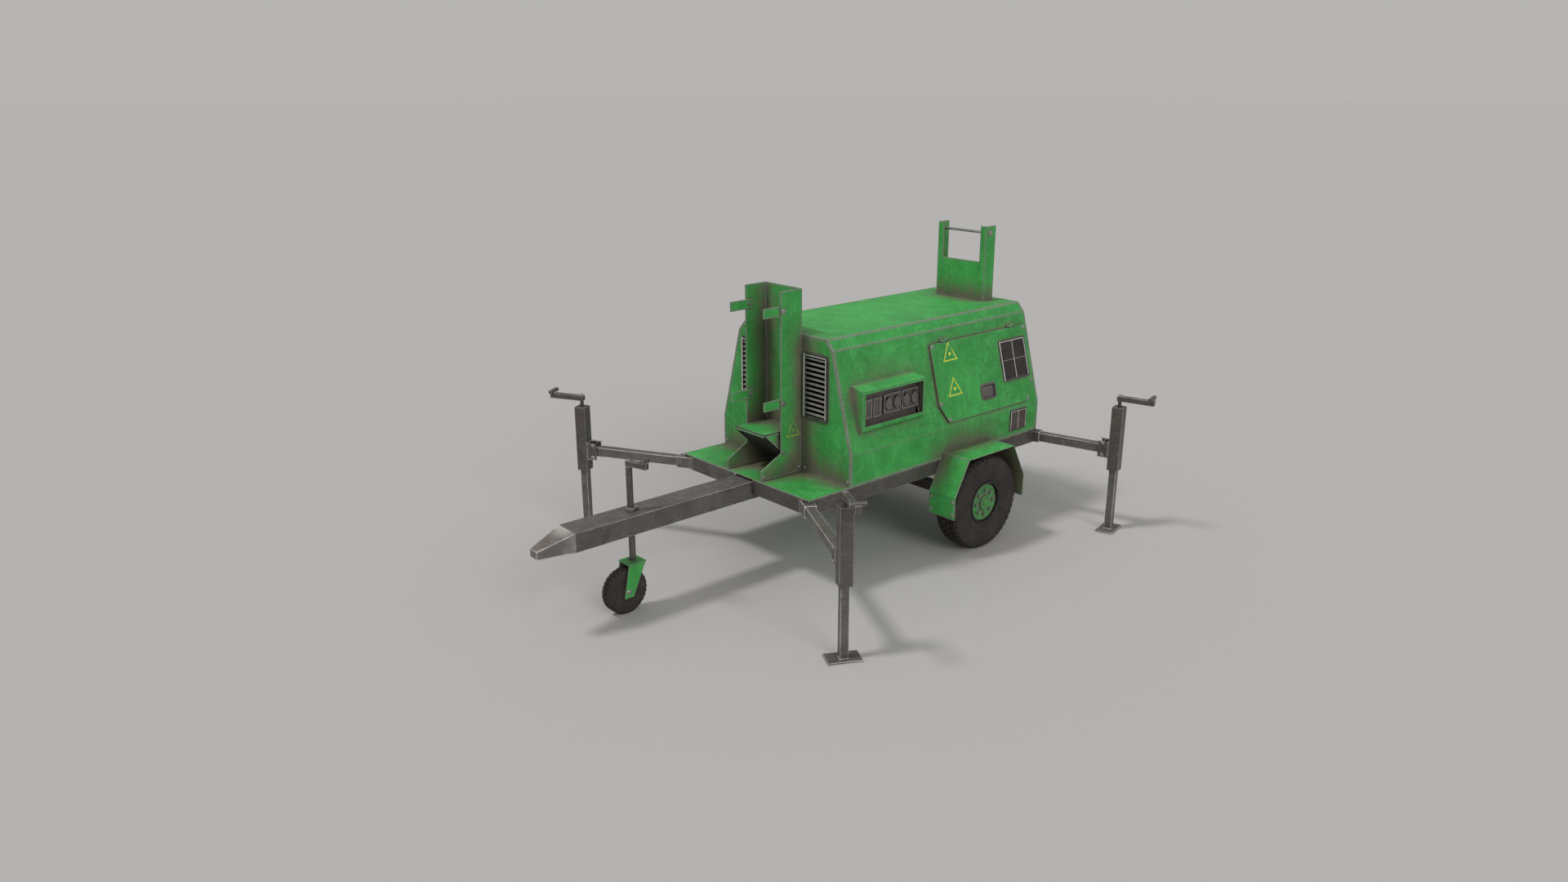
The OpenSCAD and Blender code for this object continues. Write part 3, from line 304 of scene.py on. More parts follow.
# Light lips on the lit sides of vent frames: a painted highlight
LIP_HIGHLIGHT_STEEL = steel_material("lip_highlight_steel", (0.50, 0.485, 0.46), (0.66, 0.645, 0.62), rust=0.06, rough=0.5,
                           metal=0.1, edge_wear_and_highlight=(0.80, 0.78, 0.74), edge=0.003, reach=0.004)
SLAT_STEEL = steel_material("grille_slat_steel", (0.135, 0.128, 0.120), (0.235, 0.224, 0.212), rust=0.35,
                            rough=0.46, metal=0.55, edge_wear_and_highlight=(0.36, 0.345, 0.33), edge=0.003, reach=0.02)
MESH_STEEL = steel_material("fine_mesh_steel", (0.048, 0.044, 0.042), (0.085, 0.079, 0.075), rust=0.3,
                            rough=0.5, metal=0.5, edge_wear_and_highlight=(0.14, 0.13, 0.125), edge=0.001, reach=0.01)
RUSTY_MESH = steel_material("rusty_mesh_steel", (0.105, 0.087, 0.078), (0.185, 0.158, 0.146), rust=0.6,
                            rough=0.55, metal=0.4, edge_wear_and_highlight=(0.30, 0.25, 0.22), edge=0.001, reach=0.01)
CAST = steel_material("cast_iron", (0.11, 0.115, 0.115), (0.17, 0.175, 0.175), rust=0.12, rough=0.6,
                      metal=0.3, edge_wear_and_highlight=(0.25, 0.25, 0.25))
RUBBER = rubber_material("tyre_rubber", (0.026, 0.023, 0.021), (0.075, 0.062, 0.050), 0.5)
SOLID_RUBBER = rubber_material("solid_rubber", (0.029, 0.025, 0.022), (0.085, 0.068, 0.053), 0.6)
PLASTIC = plastic_material("grey_brown_moulding", (0.082, 0.073, 0.064), 0.5, (0.17, 0.155, 0.14))
LID = plastic_material("lid_moulding", (0.112, 0.103, 0.094), 0.46, (0.42, 0.40, 0.37), 0.0035)
RIM = plastic_material("rim_moulding", (0.262, 0.247, 0.229), 0.46, (0.50, 0.48, 0.45), 0.003)
LATCH = plastic_material("latch_moulding", (0.095, 0.086, 0.080), 0.45, (0.40, 0.38, 0.35), 0.004)
BLACK = plastic_material("black_moulding", (0.022, 0.021, 0.020), 0.5)
TANK = plastic_material("tank_moulding", (0.050, 0.050, 0.052), 0.4)
# Near black sheet behind the vents: painted shade for the dark inside of the body
SHADE_BACKING = plastic_material("shade_backing_moulding", (0.014, 0.013, 0.012), 0.9, (0.02, 0.019, 0.018))
MARK = mark_material("yellow_green_mark", (0.74, 0.80, 0.060))
FAINT_MARK = mark_material("faded_mark", (0.42, 0.50, 0.045), wear=0.8)


# ---------------------------------------------------------------- mesh helpers

class Solid:
    """Closed shapes gathered into one mesh, each with its own material number."""

    def __init__(self, place=None):
        self.bm = bmesh.new()
        self.place = place or Matrix()

    def add(self, points, faces, mat=0):
        verts = [self.bm.verts.new(self.place @ Vector(p)) for p in points]
        for f in faces:
            self.bm.faces.new([verts[i] for i in f]).material_index = mat

    def box(self, lo, hi, mat=0):
        points = [(x, y, z) for x in (lo[0], hi[0]) for y in (lo[1], hi[1]) for z in (lo[2], hi[2])]
        faces = [(0, 1, 3, 2), (4, 6, 7, 5), (0, 4, 5, 1), (2, 3, 7, 6), (0, 2, 6, 4), (1, 5, 7, 3)]
        self.add(points, faces, mat)

    def prism(self, outline, lo, hi, axis="z", mat=0):
        """Extrudes an outline along an axis; it is drawn in the other two axes, in their order."""
        n = len(outline)
        at = {"x": lambda p, d: (d, p[0], p[1]), "y": lambda p, d: (p[0], d, p[1]),
              "z": lambda p, d: (p[0], p[1], d)}[axis]
        points = [at(p, lo) for p in outline] + [at(p, hi) for p in outline]
        sides = [(i, (i + 1) % n, n + (i + 1) % n, n + i) for i in range(n)]
        self.add(points, [tuple(range(n))[::-1], tuple(range(n, 2 * n))] + sides, mat)

    def ring(self, outer, inner, lo, hi, mat=0):
        """Flat ring along Z between two outlines with the same number of points."""
        n = len(outer)
        points = [(*p, z) for z in (lo, hi) for o in (outer, inner) for p in o]
        faces = []
        for i in range(n):
            j = (i + 1) % n
            faces += [(i, j, 2 * n + j, 2 * n + i), (n + i, n + j, 3 * n + j, 3 * n + i),
                      (i, j, n + j, n + i), (2 * n + i, 2 * n + j, 3 * n + j, 3 * n + i)]
        self.add(points, faces, mat)

    def lathe(self, profile, origin=(0, 0, 0), turn=None, steps=64, mat=0):
        """Turns a closed profile of (radius, height) points about the local Z axis."""
        turn = turn or Matrix()
        points, rings = [], []
        for r, h in profile:
            count = 1 if r < 1e-6 else steps
            rings.append([len(points) + i for i in range(count)])
            for i in range(count):
                a = 2 * math.pi * i / steps
                points.append(Vector(origin) + turn @ Vector((r * math.cos(a), r * math.sin(a), h)))
        faces = []
        for a, b in zip(rings, rings[1:] + rings[:1]):
            for i in range(steps):
                j = (i + 1) % steps
                loop = [a[i % len(a)], a[j % len(a)], b[j % len(b)], b[i % len(b)]]
                loop = [v for k, v in enumerate(loop) if v not in loop[:k]]
                if len(loop) > 2:
                    faces.append(tuple(loop))
        self.add(points, faces, mat)

    def rod(self, a, b, r, sides=24, mat=0):
        """Straight rod between two points."""
        a, b = Vector(a), Vector(b)
        turn = (b - a).to_track_quat("Z", "Y").to_matrix().to_4x4()
        self.lathe([(0, 0), (r, 0), (r, (b - a).length), (0, (b - a).length)], a, turn, sides, mat)

    def piece(self, name, mats, width=0.001, segments=2, angle=28):
        bmesh.ops.recalc_face_normals(self.bm, faces=self.bm.faces)
        mesh = bpy.data.meshes.new(name)
        self.bm.to_mesh(mesh)
        self.bm.free()
        return soften(new_object(name, mesh, mats), width, segments, angle)


def rounded(x0, y0, x1, y1, r, steps=5):
    """Rectangle with round corners."""
    points = []
    corners = ((x1 - r, y0 + r, -90), (x1 - r, y1 - r, 0), (x0 + r, y1 - r, 90), (x0 + r, y0 + r, 180))
    for cx, cy, start in corners:
        for i in range(steps + 1):
            a = math.radians(start + 90 * i / steps)
            points.append((cx + r * math.cos(a), cy + r * math.sin(a)))
    return points


def finish_piece(obj, body, slot, *replaced):
    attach(obj, body)
    if replaced:
        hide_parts(*replaced)
    return obj


def stand_for(obj, node):
    """The piece takes the place and body of one CAD node."""
    return finish_piece(obj, BODY_OF[node], SLOT_OF[node], node)


def new_object(name, mesh, mats):
    obj = bpy.data.objects.new(name, mesh)
    SCENE.collection.objects.link(obj)
    for m in mats if isinstance(mats, (list, tuple)) else [mats]:
        mesh.materials.append(m)
    return obj


def apply_modifiers(obj):
    bpy.context.view_layer.update()
    deps = bpy.context.evaluated_depsgraph_get()
    mesh = bpy.data.meshes.new_from_object(obj.evaluated_get(deps), preserve_all_data_layers=True,
                                           depsgraph=deps)
    old = obj.data
    obj.modifiers.clear()
    obj.data = mesh
    bpy.data.meshes.remove(old)


def soften(obj, width, segments=2, angle=28):
    """Rounds the edges and keeps the big faces flat."""
    for p in obj.data.polygons:
        p.use_smooth = True
    if width > 0:
        bevel = obj.modifiers.new("bevel", "BEVEL")
        bevel.width = width
        bevel.segments = segments
        bevel.limit_method = "ANGLE"
        bevel.angle_limit = math.radians(angle)
        bevel.use_clamp_overlap = False
        bevel.miter_outer = "MITER_ARC"
        bevel.harden_normals = False
    weighted = obj.modifiers.new("normals", "WEIGHTED_NORMAL")
    weighted.keep_sharp = True
    apply_modifiers(obj)
    return obj


def from_node(node, split=False):
    """A welded copy of a CAD node's mesh with flat faces merged; split cuts the big ones in triangles."""
    mesh = bpy.data.meshes.new(node + "_piece")
    bm = bmesh.new()
    bm.from_mesh(NODES[node].data)
    bmesh.ops.remove_doubles(bm, verts=bm.verts, dist=2e-6)
    bmesh.ops.dissolve_limit(bm, angle_limit=math.radians(0.5), verts=bm.verts, edges=bm.edges)
    if split:
        bmesh.ops.triangulate(bm, faces=[f for f in bm.faces if len(f.verts) > 4])
    bmesh.ops.recalc_face_normals(bm, faces=bm.faces)
    bm.to_mesh(mesh)
    bm.free()
    return mesh


def refined(node, mats, width=0.0012, choose=None, angle=28, split=False):
    """Replaces a CAD node by its own shape with rounded edges; choose picks a material for a face."""
    obj = new_object(node + "_piece", from_node(node, split), mats)
    if choose:
        for p in obj.data.polygons:
            p.material_index = choose(p)
    soften(obj, width, angle=angle)
    return stand_for(obj, node)


def local_box(node, place=None):
    """Lowest and highest corner of a node's mesh in the frame of a matrix."""
    inverse = (place or Matrix()).inverted()
    points = [inverse @ v.co for v in NODES[node].data.vertices]
    return [Vector([f(p[i] for p in points) for i in range(3)]) for f in (min, max)]


# Frame of the left leaning wall: X along the body, Y up the wall, Z out of it
HALF_W, WAIST_Z, SHOULDER_HW, SHOULDER_Z = 0.550, 0.760, 0.398, 1.322
WALL_ANGLE = math.atan2(SHOULDER_Z - WAIST_Z, HALF_W - SHOULDER_HW)
WALL = Matrix.Translation((0, -HALF_W, WAIST_Z)) @ Matrix.Rotation(WALL_ANGLE, 4, "X")
FLIP = Matrix.Diagonal((1, -1, 1, 1))
UPRIGHT = Matrix.Rotation(math.radians(90), 4, "X")


# ---------------------------------------------------------------- plain structure

# Length of the drawbar's tapered nose, and how far each pair of arms is turned from +X, in degrees
NOSE_LENGTH, FRONT_SPLAY, REAR_SPLAY = 0.198, 118.5, 76.5


def plates():
    refined("deck_plate", PLATE_PAINT, 0.0016)
    refined("canopy_shell", BODY_PAINT, 0.0012, angle=8)
    refined("mast_channel", PLATE_PAINT, 0.0022)
    refined("mast_tabs", PLATE_PAINT, 0.0022)
    refined("mast_rest", PLATE_PAINT, 0.0022)
    refined("fenders", PLATE_PAINT, 0.0014)
    axle = sum(local_box("jockey_wheel"), Vector()) / 2
    bolt_reach, leg_outside = 0.014, 0.0465

    def fork_part(face):
        off = face.center - axle
        return int(math.hypot(off.x, off.z) < bolt_reach and abs(off.y) > leg_outside)

    refined("jockey_fork", [PANEL_PAINT, STEEL_BRIGHT], 0.0014, fork_part)


def chassis():
    for node, width in {"side_rails": 0.002, "cross_members": 0.002, "jockey_crank": 0.002,
                        "jockey_stem": 0.0015}.items():
        refined(node, STEEL, width)
    shoulder_x = local_box("drawbar")[0].x + NOSE_LENGTH
    refined("drawbar", [BEAM, NOSE_STEEL], 0.003, lambda face: int(face.center.x < shoulder_x))
    between_sleeves = 0.5

    def sleeve_part(face):
        is_front = face.center.x < between_sleeves
        splay = math.radians(FRONT_SPLAY if is_front else REAR_SPLAY)
        along = Vector((math.cos(splay), math.copysign(math.sin(splay), face.center.y), 0))
        return int(face.normal.dot(along) > 0.98)

    # The sleeve mouth faces take the painted highlight
    refined("outrigger_sleeves", [LEG_STEEL, MOUTH_HIGHLIGHT_STEEL], 0.0018, sleeve_part)
    refined("axle_beam", STEEL_DARK, 0.003)
    for node, width in {"coupling_socket": 0.001, "mast_rest_rod": 0.001, "body_bolts": 0.0007,
                        "jockey_collar": 0.002, "exhaust": 0.0006}.items():
        refined(node, STEEL_BRIGHT, width)


def outriggers():
    for node in NODES:
        if node.startswith("arm_"):
            refined(node, LEG_STEEL, 0.0018, split=True)
        elif node.startswith("jack_tube_"):
            refined(node, STEEL, 0.002, split=True)
        elif node.startswith("jack_crank_"):
            refined(node, STEEL, 0.002)
        elif node.startswith("jack_leg_"):
            refined(node, LEG_STEEL, 0.0018)


def engine_bay():
    refined("radiator", SLAT_STEEL, 0.0)
    refined("engine_block", CAST, 0.006)
    refined("alternator", CAST, 0.004)
    refined("fuel_tank", TANK, 0.012)
    refined("battery", BLACK, 0.004)
    refined("air_filter", BLACK, 0.003)
    refined("cooling_fan", BLACK, 0.0)


# ---------------------------------------------------------------- grilles and vents

def frame_ring(s, w, h, border, depth, inner_r, mat):
    """Flat frame around an opening, with slightly rounded corners."""
    s.ring(rounded(0, 0, w, h, 0.003, 2), rounded(border, border, w - border, h - border, inner_r, 2),
           0, depth, mat)


def screen(s, w, h, border, depth, rows, columns, mid_bar, mats, cross=True):
    """Framed screen of fine wires over a near black sheet of painted shade, with lips light as a painted
    highlight; lower corner at the origin, Z out of the wall.
    """
    rim, wire, shade_sheet, lip = mats
    bite, strip, wire_half = 0.001, 0.0014, 0.0011
    left, right, bottom, top = border - bite, w - border + bite, border - bite, h - border + bite
    frame_ring(s, w, h, border, depth, 0.002, rim)
    # Near black sheet behind the wires stands for the shade inside the body
    s.box((left - bite, bottom - bite, -0.006), (right + bite, top + bite, -0.003), shade_sheet)
    low = depth * 0.15
    pitch = (h - 2 * border) / rows
    for i in range(rows):
        y = border + pitch * (i + 0.5)
        half = pitch * 0.31
        s.box((left, y - half, low), (right, y + half, low + strip), wire)
    for i in range(1, columns):
        x = border + (w - 2 * border) * i / columns
        s.box((x - wire_half, bottom, low + 0.001), (x + wire_half, top, low + 0.003), wire)
    # The middle bars take the light lip colour as a painted highlight
    s.box((w / 2 - mid_bar / 2, bottom, depth * 0.2), (w / 2 + mid_bar / 2, top, depth * 0.85), lip)
    if cross:
        s.box((left, h / 2 - mid_bar / 4, depth * 0.2), (right, h / 2 + mid_bar / 4, depth * 0.6), lip)
    lips(s, w, h, border, depth, lip)


def lips(s, w, h, border, depth, mat):
    """Folded lips of a frame, light as a painted highlight: a wide one on one side, narrow ones on top and on
    the other side.
    """
    wide, narrow, bite, proud = border * 0.62, border * 0.30, 0.0002, 0.0003
    left, low, right, top = border * 0.2, border * 0.3, w - border, h - border
    s.box((left, low, depth - 0.002), (left + wide, h - low, depth + 0.0004), mat)
    s.box((border, top - bite, depth - 0.003), (right, top + narrow, depth + proud), mat)
    s.box((right - bite, border, depth - 0.003), (right + narrow, top, depth + proud), mat)


def louvre(s, w, h, border, depth, count):
    """Framed grille of leaning slats with an open gap between them."""
    lips(s, w, h, border, depth, 3)
    frame_ring(s, w, h, border, depth, 0.003, 4)
    pitch = (h - 2 * border) / count
    for i in range(count):
        y = border + pitch * (i + 0.5)
        blade = [(y - pitch * 0.20, depth - 0.004), (y - pitch * 0.13, depth + 0.0005),
                 (y + pitch * 0.21, depth * 0.2), (y + pitch * 0.14, depth * 0.2 - 0.004)]
        s.prism(blade, border - 0.001, w - border + 0.001, "x", 1)


def grilles():
    """Two slatted grilles at each end of the body and a low wire vent on each side."""
    canopy_low, canopy_high = local_box("canopy_shell")
    width, height, floor, border, depth, slats = 0.192, 0.373, 0.911, 0.014, 0.012, 12
    left_y, right_y = -0.366, 0.174
    s = Solid()
    for y in (left_y, right_y):
        for at, turn in (((canopy_low.x, y + width, floor), -90), ((canopy_high.x, y, floor), 90)):
            s.place = Matrix.Translation(at) @ Matrix.Rotation(math.radians(turn), 4, "Z") @ UPRIGHT
            louvre(s, width, height, border, depth, slats)
    vent_x, vent_z, vent_w, vent_h, vent_border, vent_depth = 1.413, 0.614, 0.158, 0.131, 0.008, 0.008
    at_vent = Matrix.Translation((canopy_low.x + vent_x, -HALF_W, vent_z)) @ UPRIGHT
    for side in (Matrix(), FLIP):
        s.place = side @ at_vent
        screen(s, vent_w, vent_h, vent_border, vent_depth, 15, 8, 0.0026, (4, 2, 0, 3), False)
    mats = [SHADE_BACKING, SLAT_STEEL, RUSTY_MESH, LIP_HIGHLIGHT_STEEL, FRAME_STEEL]
    stand_for(s.piece("grilles_piece", mats, 0.0005), "grilles")


# Border, rows, columns and middle bar of the two big vents
VENT_BORDER, VENT_ROWS, VENT_COLUMNS, VENT_BAR = 0.012, 30, 22, 0.0026
# Outline of the service door and of its copy on the right side, and the size of their bolts
DOOR_W, DOOR_H, DOOR_CUT_X, DOOR_CUT_Y = 0.896, 0.476, 0.065, 0.110
DOOR_FLOOR, DOOR_FACE = 0.028, 0.014
PANEL_BOLT = (0.0078, 0.0058)


def panel_bolts():
    """Places of the six bolts of a door-shaped panel, from its lower left corner."""
    left, low, high, cut_x, cut_y = 0.018, 0.118, DOOR_H - 0.018, 0.074, 0.016
    half = [(left, high), (left, low), (cut_x, cut_y)]
    return [p for x, y in half for p in ((x, y), (DOOR_W - x, y))]


def door_vent():
    low, high = local_box("door_vent", WALL)
    size = high - low
    s = Solid(WALL @ Matrix.Translation(low))
    screen(s, size.x, size.y, VENT_BORDER, size.z - 0.0004, VENT_ROWS, VENT_COLUMNS, VENT_BAR, (0, 1, 2, 3))
    stand_for(s.piece("door_vent_piece", [FRAME_STEEL, MESH_STEEL, SHADE_BACKING, LIP_HIGHLIGHT_STEEL], 0.0005), "door_vent")


def service_panel():
    """Bolted sheet on the right side, cut like the door, with the same vent."""
    place = FLIP @ WALL
    low, high = local_box("service_panel", place)
    vent_low, vent_high = local_box("door_vent", WALL)
    sheet, inset_by = low.z + 0.005, 0.004
    w, h = high.x - low.x, high.y - low.y
    s = Solid(place @ Matrix.Translation((low.x, low.y, 0)))
    outline = [(DOOR_CUT_X, 0), (w - DOOR_CUT_X, 0), (w, DOOR_CUT_Y), (w, h), (0, h), (0, DOOR_CUT_Y)]
    s.prism(outline, low.z, sheet, "z", 0)
    for x, y in panel_bolts():
        bolt(s, x, y, sheet - 0.001, *PANEL_BOLT, 1)
    s.place = place @ Matrix.Translation((vent_low.x, vent_low.y, sheet))
    vent = vent_high - vent_low
    # Near black patch under the vent: painted shade
    s.box((inset_by, inset_by, -0.001), (vent.x - inset_by, vent.y - inset_by, 0.0008), 4)
    screen(s, vent.x, vent.y, VENT_BORDER, high.z - sheet - 0.0006, VENT_ROWS, VENT_COLUMNS, VENT_BAR,
           (2, 3, 4, 5))
    mats = [PANEL_PAINT, STEEL_BRIGHT, FRAME_STEEL, MESH_STEEL, SHADE_BACKING, LIP_HIGHLIGHT_STEEL]
    stand_for(s.piece("service_panel_piece", mats, 0.0005), "service_panel")


# ---------------------------------------------------------------- service door

def bolt(s, x, y, z, r, h, mat=0):
    """Hexagon head on its washer, standing on Z."""
    s.lathe([(0, z), (r * 1.45, z), (r * 1.45, z + h * 0.3), (0, z + h * 0.3)], (x, y, 0), None, 24, mat)
    s.lathe([(0, z), (r, z), (r, z + h), (0, z + h)], (x, y, 0), None, 6, mat)


def door():
    out = WALL.to_3x3() @ Vector((0, 0, 1))

    # The door's left and bottom side faces take painted shade
    def door_part(face):
        rim_face = abs(face.normal.dot(out)) < 0.3
        return int(rim_face and (face.normal.x < -0.3 or face.normal.z < -0.3))

    refined("door_panel", [PANEL_PAINT, SHADED_SIDE_PAINT], 0.0010, door_part)
    door_hinges()
    door_latch()
    door_x = local_box("door_panel", WALL)[0].x
    s = Solid(WALL)
    for x, y in panel_bolts():
        bolt(s, door_x + x, DOOR_FLOOR + y, DOOR_FACE, *PANEL_BOLT)
    finish_piece(s.piece("door_bolts", [STEEL_BRIGHT], 0.0008), BODY_OF["door_panel"], SLOT_OF["body_bolts"])


def door_latch():
    """Paddle with a raised middle on its pin, and the bezel around it on the door."""
    low, high = local_box("door_latch", WALL)
    x0, x1 = low.x + 0.0045, high.x - 0.0045
    y0, y1 = low.y - 0.001, high.y + 0.001
    back, face = low.z + 0.003, high.z
    pin_y, pin_z = high.y - 0.006, back + 0.001
    s = Solid(WALL)
    s.prism(rounded(x0 + 0.001, y0 + 0.001, x1 - 0.001, y1 - 0.004, 0.016, 6), back + 0.0005, back + 0.006)
    s.prism(rounded(x0 + 0.014, y0 + 0.026, x1 - 0.014, y1 - 0.020, 0.008, 5), back + 0.005, back + 0.0075)
    s.rod((low.x, pin_y, pin_z), (high.x, pin_y, pin_z), 0.003, 20, 1)
    stand_for(s.piece("door_latch_piece", [LATCH, STEEL_BRIGHT], 0.0012, 3), "door_latch")
    s = Solid(WALL)
    band = 0.010
    s.ring(rounded(x0 - band, y0 - band, x1 + band, y1 + band, 0.022, 7), rounded(x0, y0, x1, y1, 0.014, 7),
           face + 0.0005, face + 0.0062)
    bezel = s.piece("latch_bezel", [LATCH], 0.0016, 3)
    finish_piece(bezel, BODY_OF["door_panel"], SLOT_OF["door_latch"])


def door_hinges():
    """Painted knuckles on the door's top edge with a short fixed leaf."""
    low, high = local_box("door_hinges", WALL)
    r, half, knuckle = 0.007, 0.030, 0.015
    pin_y, pin_z = low.y + r, high.z - r
    s = Solid(WALL)
    for x in (low.x + half, high.x - half):
        for side in (-1, 1):
            s.rod((x + side * knuckle, pin_y, pin_z), (x + side * half, pin_y, pin_z), r, 24)
            middle = x + side * (half + knuckle) / 2
            s.box((middle - knuckle / 2, pin_y, 0), (middle + knuckle / 2, pin_y + 0.014, pin_z - 0.003))
        s.box((x - half, pin_y + 0.009, 0), (x + half, pin_y + 0.022, 0.003))
        s.rod((x - half - 0.0005, pin_y, pin_z), (x + half + 0.0005, pin_y, pin_z), 0.0034, 16)
    stand_for(s.piece("door_hinges_piece", [PANEL_PAINT], 0.0008), "door_hinges")


def marks():
    """Plain triangles with a dot, painted on the door and on the mast channel's near flange."""
    door_x, mark_w = local_box("door_panel", WALL)[0].x, 0.128
    s = Solid(WALL)
    for x, y, h in ((0.157, 0.387, 0.113), (0.155, 0.178, 0.110)):
        triangle(s, door_x + x, y, mark_w, h, 0.0065, DOOR_FACE + 0.0002)
    finish_piece(s.piece("door_marks", [MARK], 0), BODY_OF["door_panel"], SLOT_OF["door_panel"])
    channel_low, channel_high = local_box("mast_channel")
    s = Solid(outwards(channel_high.x - 0.067, channel_low.y, 0))
    triangle(s, 0, 0.800, 0.104, 0.098, 0.0055, 0.0004)
    finish_piece(s.piece("flange_mark", [FAINT_MARK], 0), BODY_OF["mast_channel"], SLOT_OF["mast_channel"])


def triangle(s, cx, cy, w, h, line, z):
    """Outline of a triangle with a dot in it, as a thin coat around height z."""
    outer = [(cx - w / 2, cy), (cx + w / 2, cy), (cx, cy + h)]
    low, high, dot_r = z - 0.0004, z + 0.0004, 0.010
    s.ring(outer, inset(outer, line), low, high)
    s.lathe([(0, low), (dot_r, low), (dot_r, high), (0, high)], (cx, cy + h * 0.36, 0), None, 24)


def inset(outline, d):
    """Moves each side of a convex counter-clockwise outline inwards by d."""
    n = len(outline)
    points = []
    for i in range(n):
        p, a, b = Vector(outline[i]), Vector(outline[i - 1]), Vector(outline[(i + 1) % n])
        u, v = (p - a).normalized(), (b - p).normalized()
        nu, nv = Vector((-u.y, u.x)), Vector((-v.y, v.x))
        points.append(tuple(p + (nu + nv) * d / (1 + nu.dot(nv))))
    return points


# ---------------------------------------------------------------- socket panel

def hood():
    refined("panel_hood", PANEL_PAINT, 0.0012, split=True)


# Radius of a lid and height of its pin above its middle; materials of the panel by number
LID_R, LID_PIN = 0.028, 0.034
MOULDING, RAISED_RIM, INSERT, SCREW = range(4)


def socket_centre(i):
    """Middle of socket i on the face of its housing."""
    low, high = local_box("socket_lid_%d" % i)
    return Vector(((low.x + high.x) / 2, high.y + 0.001, low.z + LID_R))


def control_panel():
    low, high = local_box("control_panel")
    hood_low, hood_high = local_box("panel_hood")
    centres = [socket_centre(i) for i in range(1, 5)]
    base, wall, step_z, breaker_x = high.y - 0.003, 0.014, 0.985, 0.056
    left, right = hood_low.x + wall, hood_high.x - wall
    s = Solid()
    s.prism([(left, low.z), (right, low.z), (right, step_z), (high.x, step_z), (high.x, high.z),
             (low.x, high.z), (low.x, step_z), (left, step_z)], base, high.y, "y", MOULDING)
    for a, b in ((0, 1), (2, 3)):
        housing(s, (centres[a] + centres[b]) / 2, base)
    for c in centres:
        socket(s, c)
    breaker_module(s, hood_low.x + breaker_x, base)
    stand_for(s.piece("control_panel_piece", [PLASTIC, RIM, BLACK, STEEL_BRIGHT], 0.0008), "control_panel")
    for i in range(1, 5):
        socket_lid(i)


def outwards(x, y, z):
    """Frame on the socket panel: X along the body, Y up, Z out of the panel."""
    return Matrix.Translation((x, y, z)) @ UPRIGHT


def housing(s, centre, base):
    """Shallow box with a raised rim, a sunk face and a screw in each corner."""
    s.place = outwards(centre.x, base, centre.z)
    depth = base - centre.y
    x, low, high, rim, corner = 0.068, -0.053, 0.058, 0.004, 0.012
    outline = rounded(-x, low, x, high, 0.008)
    s.prism(outline, 0, depth - 0.006, "z", MOULDING)
    s.ring(outline, rounded(rim - x, low + rim, x - rim, high - rim, 0.005), 0, depth, RAISED_RIM)
    for side in (-1, 1):
        for y in (low + corner, high - corner):
            s.lathe([(0, 0.004), (0.0036, 0.004), (0.0036, depth - 0.0035), (0, depth - 0.003)],
                    (side * (x - corner), y, 0), None, 16, SCREW)
    s.place = Matrix()


def socket(s, c):
    """Collar, insert and contacts of one socket, with the ears that hold its lid's pin."""
    s.place = outwards(c.x, c.y, c.z)
    bore, collar, pitch_r = 0.0262, 0.0305, 0.014
    s.lathe([(bore, -0.012), (collar, -0.012), (collar, -0.0012), (0.0290, 0.0), (bore, 0.0)], steps=48,
            mat=MOULDING)
    s.lathe([(0, -0.011), (bore, -0.011), (bore, -0.0065), (0, -0.0065)], steps=48, mat=INSERT)
    contact = [(0, -0.008), (0.0034, -0.008), (0.0034, -0.0045), (0.0022, -0.0045), (0.0022, -0.0060),
               (0, -0.0060)]
    for a in (90, 210, 330):
        x, y = pitch_r * math.cos(math.radians(a)), pitch_r * math.sin(math.radians(a))
        s.lathe(contact, (x, y, 0), None, 16, SCREW)
    for ear in (-0.011, 0.011):
        s.box((ear - 0.0025, LID_PIN - 0.0035, -0.0085), (ear + 0.0025, LID_PIN + 0.0035, 0.0075), MOULDING)
    s.rod((-0.0135, LID_PIN, 0.0045), (0.0135, LID_PIN, 0.0045), 0.0016, 16, SCREW)
    s.place = Matrix()


def breaker_module(s, x, base):
    """Two tall cover plates side by side on a shallow box."""
    s.place = outwards(x, base, 0)
    low, high, rim = 0.932, 1.040, 0.004
    s.prism(rounded(0, low - 0.006, 0.138, high + 0.006, 0.006), 0, 0.006, "z", MOULDING)
    for left, width in ((0.008, 0.050), (0.070, 0.060)):
        right = left + width
        outline = rounded(left, low, right, high, 0.005)
        s.prism(outline, 0.005, 0.011, "z", MOULDING)
        s.ring(outline, rounded(left + rim, low + rim, right - rim, high - rim, 0.004), 0.006, 0.013,
               RAISED_RIM)
        for y in (low + 0.011, high - 0.011):
            head = [(0, 0.010), (0.003, 0.010), (0.003, 0.0122), (0, 0.0126)]
            s.lathe(head, (left + width / 2, y, 0), None, 16, SCREW)
    s.place = Matrix()


def socket_lid(i):
    """Round spring lid: a raised rim, a low dome, the lug on the pin and a finger tab."""
    c = socket_centre(i)
    s = Solid(outwards(c.x, c.y, c.z))
    s.lathe([(0, 0.001), (LID_R, 0.001), (LID_R, 0.0045), (LID_R - 0.0012, 0.006), (LID_R - 0.0045, 0.006),
             (LID_R - 0.0060, 0.0044), (0.012, 0.0048), (0.008, 0.0056), (0, 0.0058)], (0, 0, 0), None, 64)
    s.box((-0.008, 0.018, 0.0012), (0.008, LID_PIN, 0.0052))
    s.rod((-0.008, LID_PIN, 0.0045), (0.008, LID_PIN, 0.0045), 0.0035, 20)
    s.prism(rounded(-0.007, -0.0325, 0.007, -0.024, 0.003, 3), 0.0015, 0.0040, "z")
    stand_for(s.piece("socket_lid_%d_piece" % i, [LID], 0.0008), "socket_lid_%d" % i)


# ---------------------------------------------------------------- mast foot

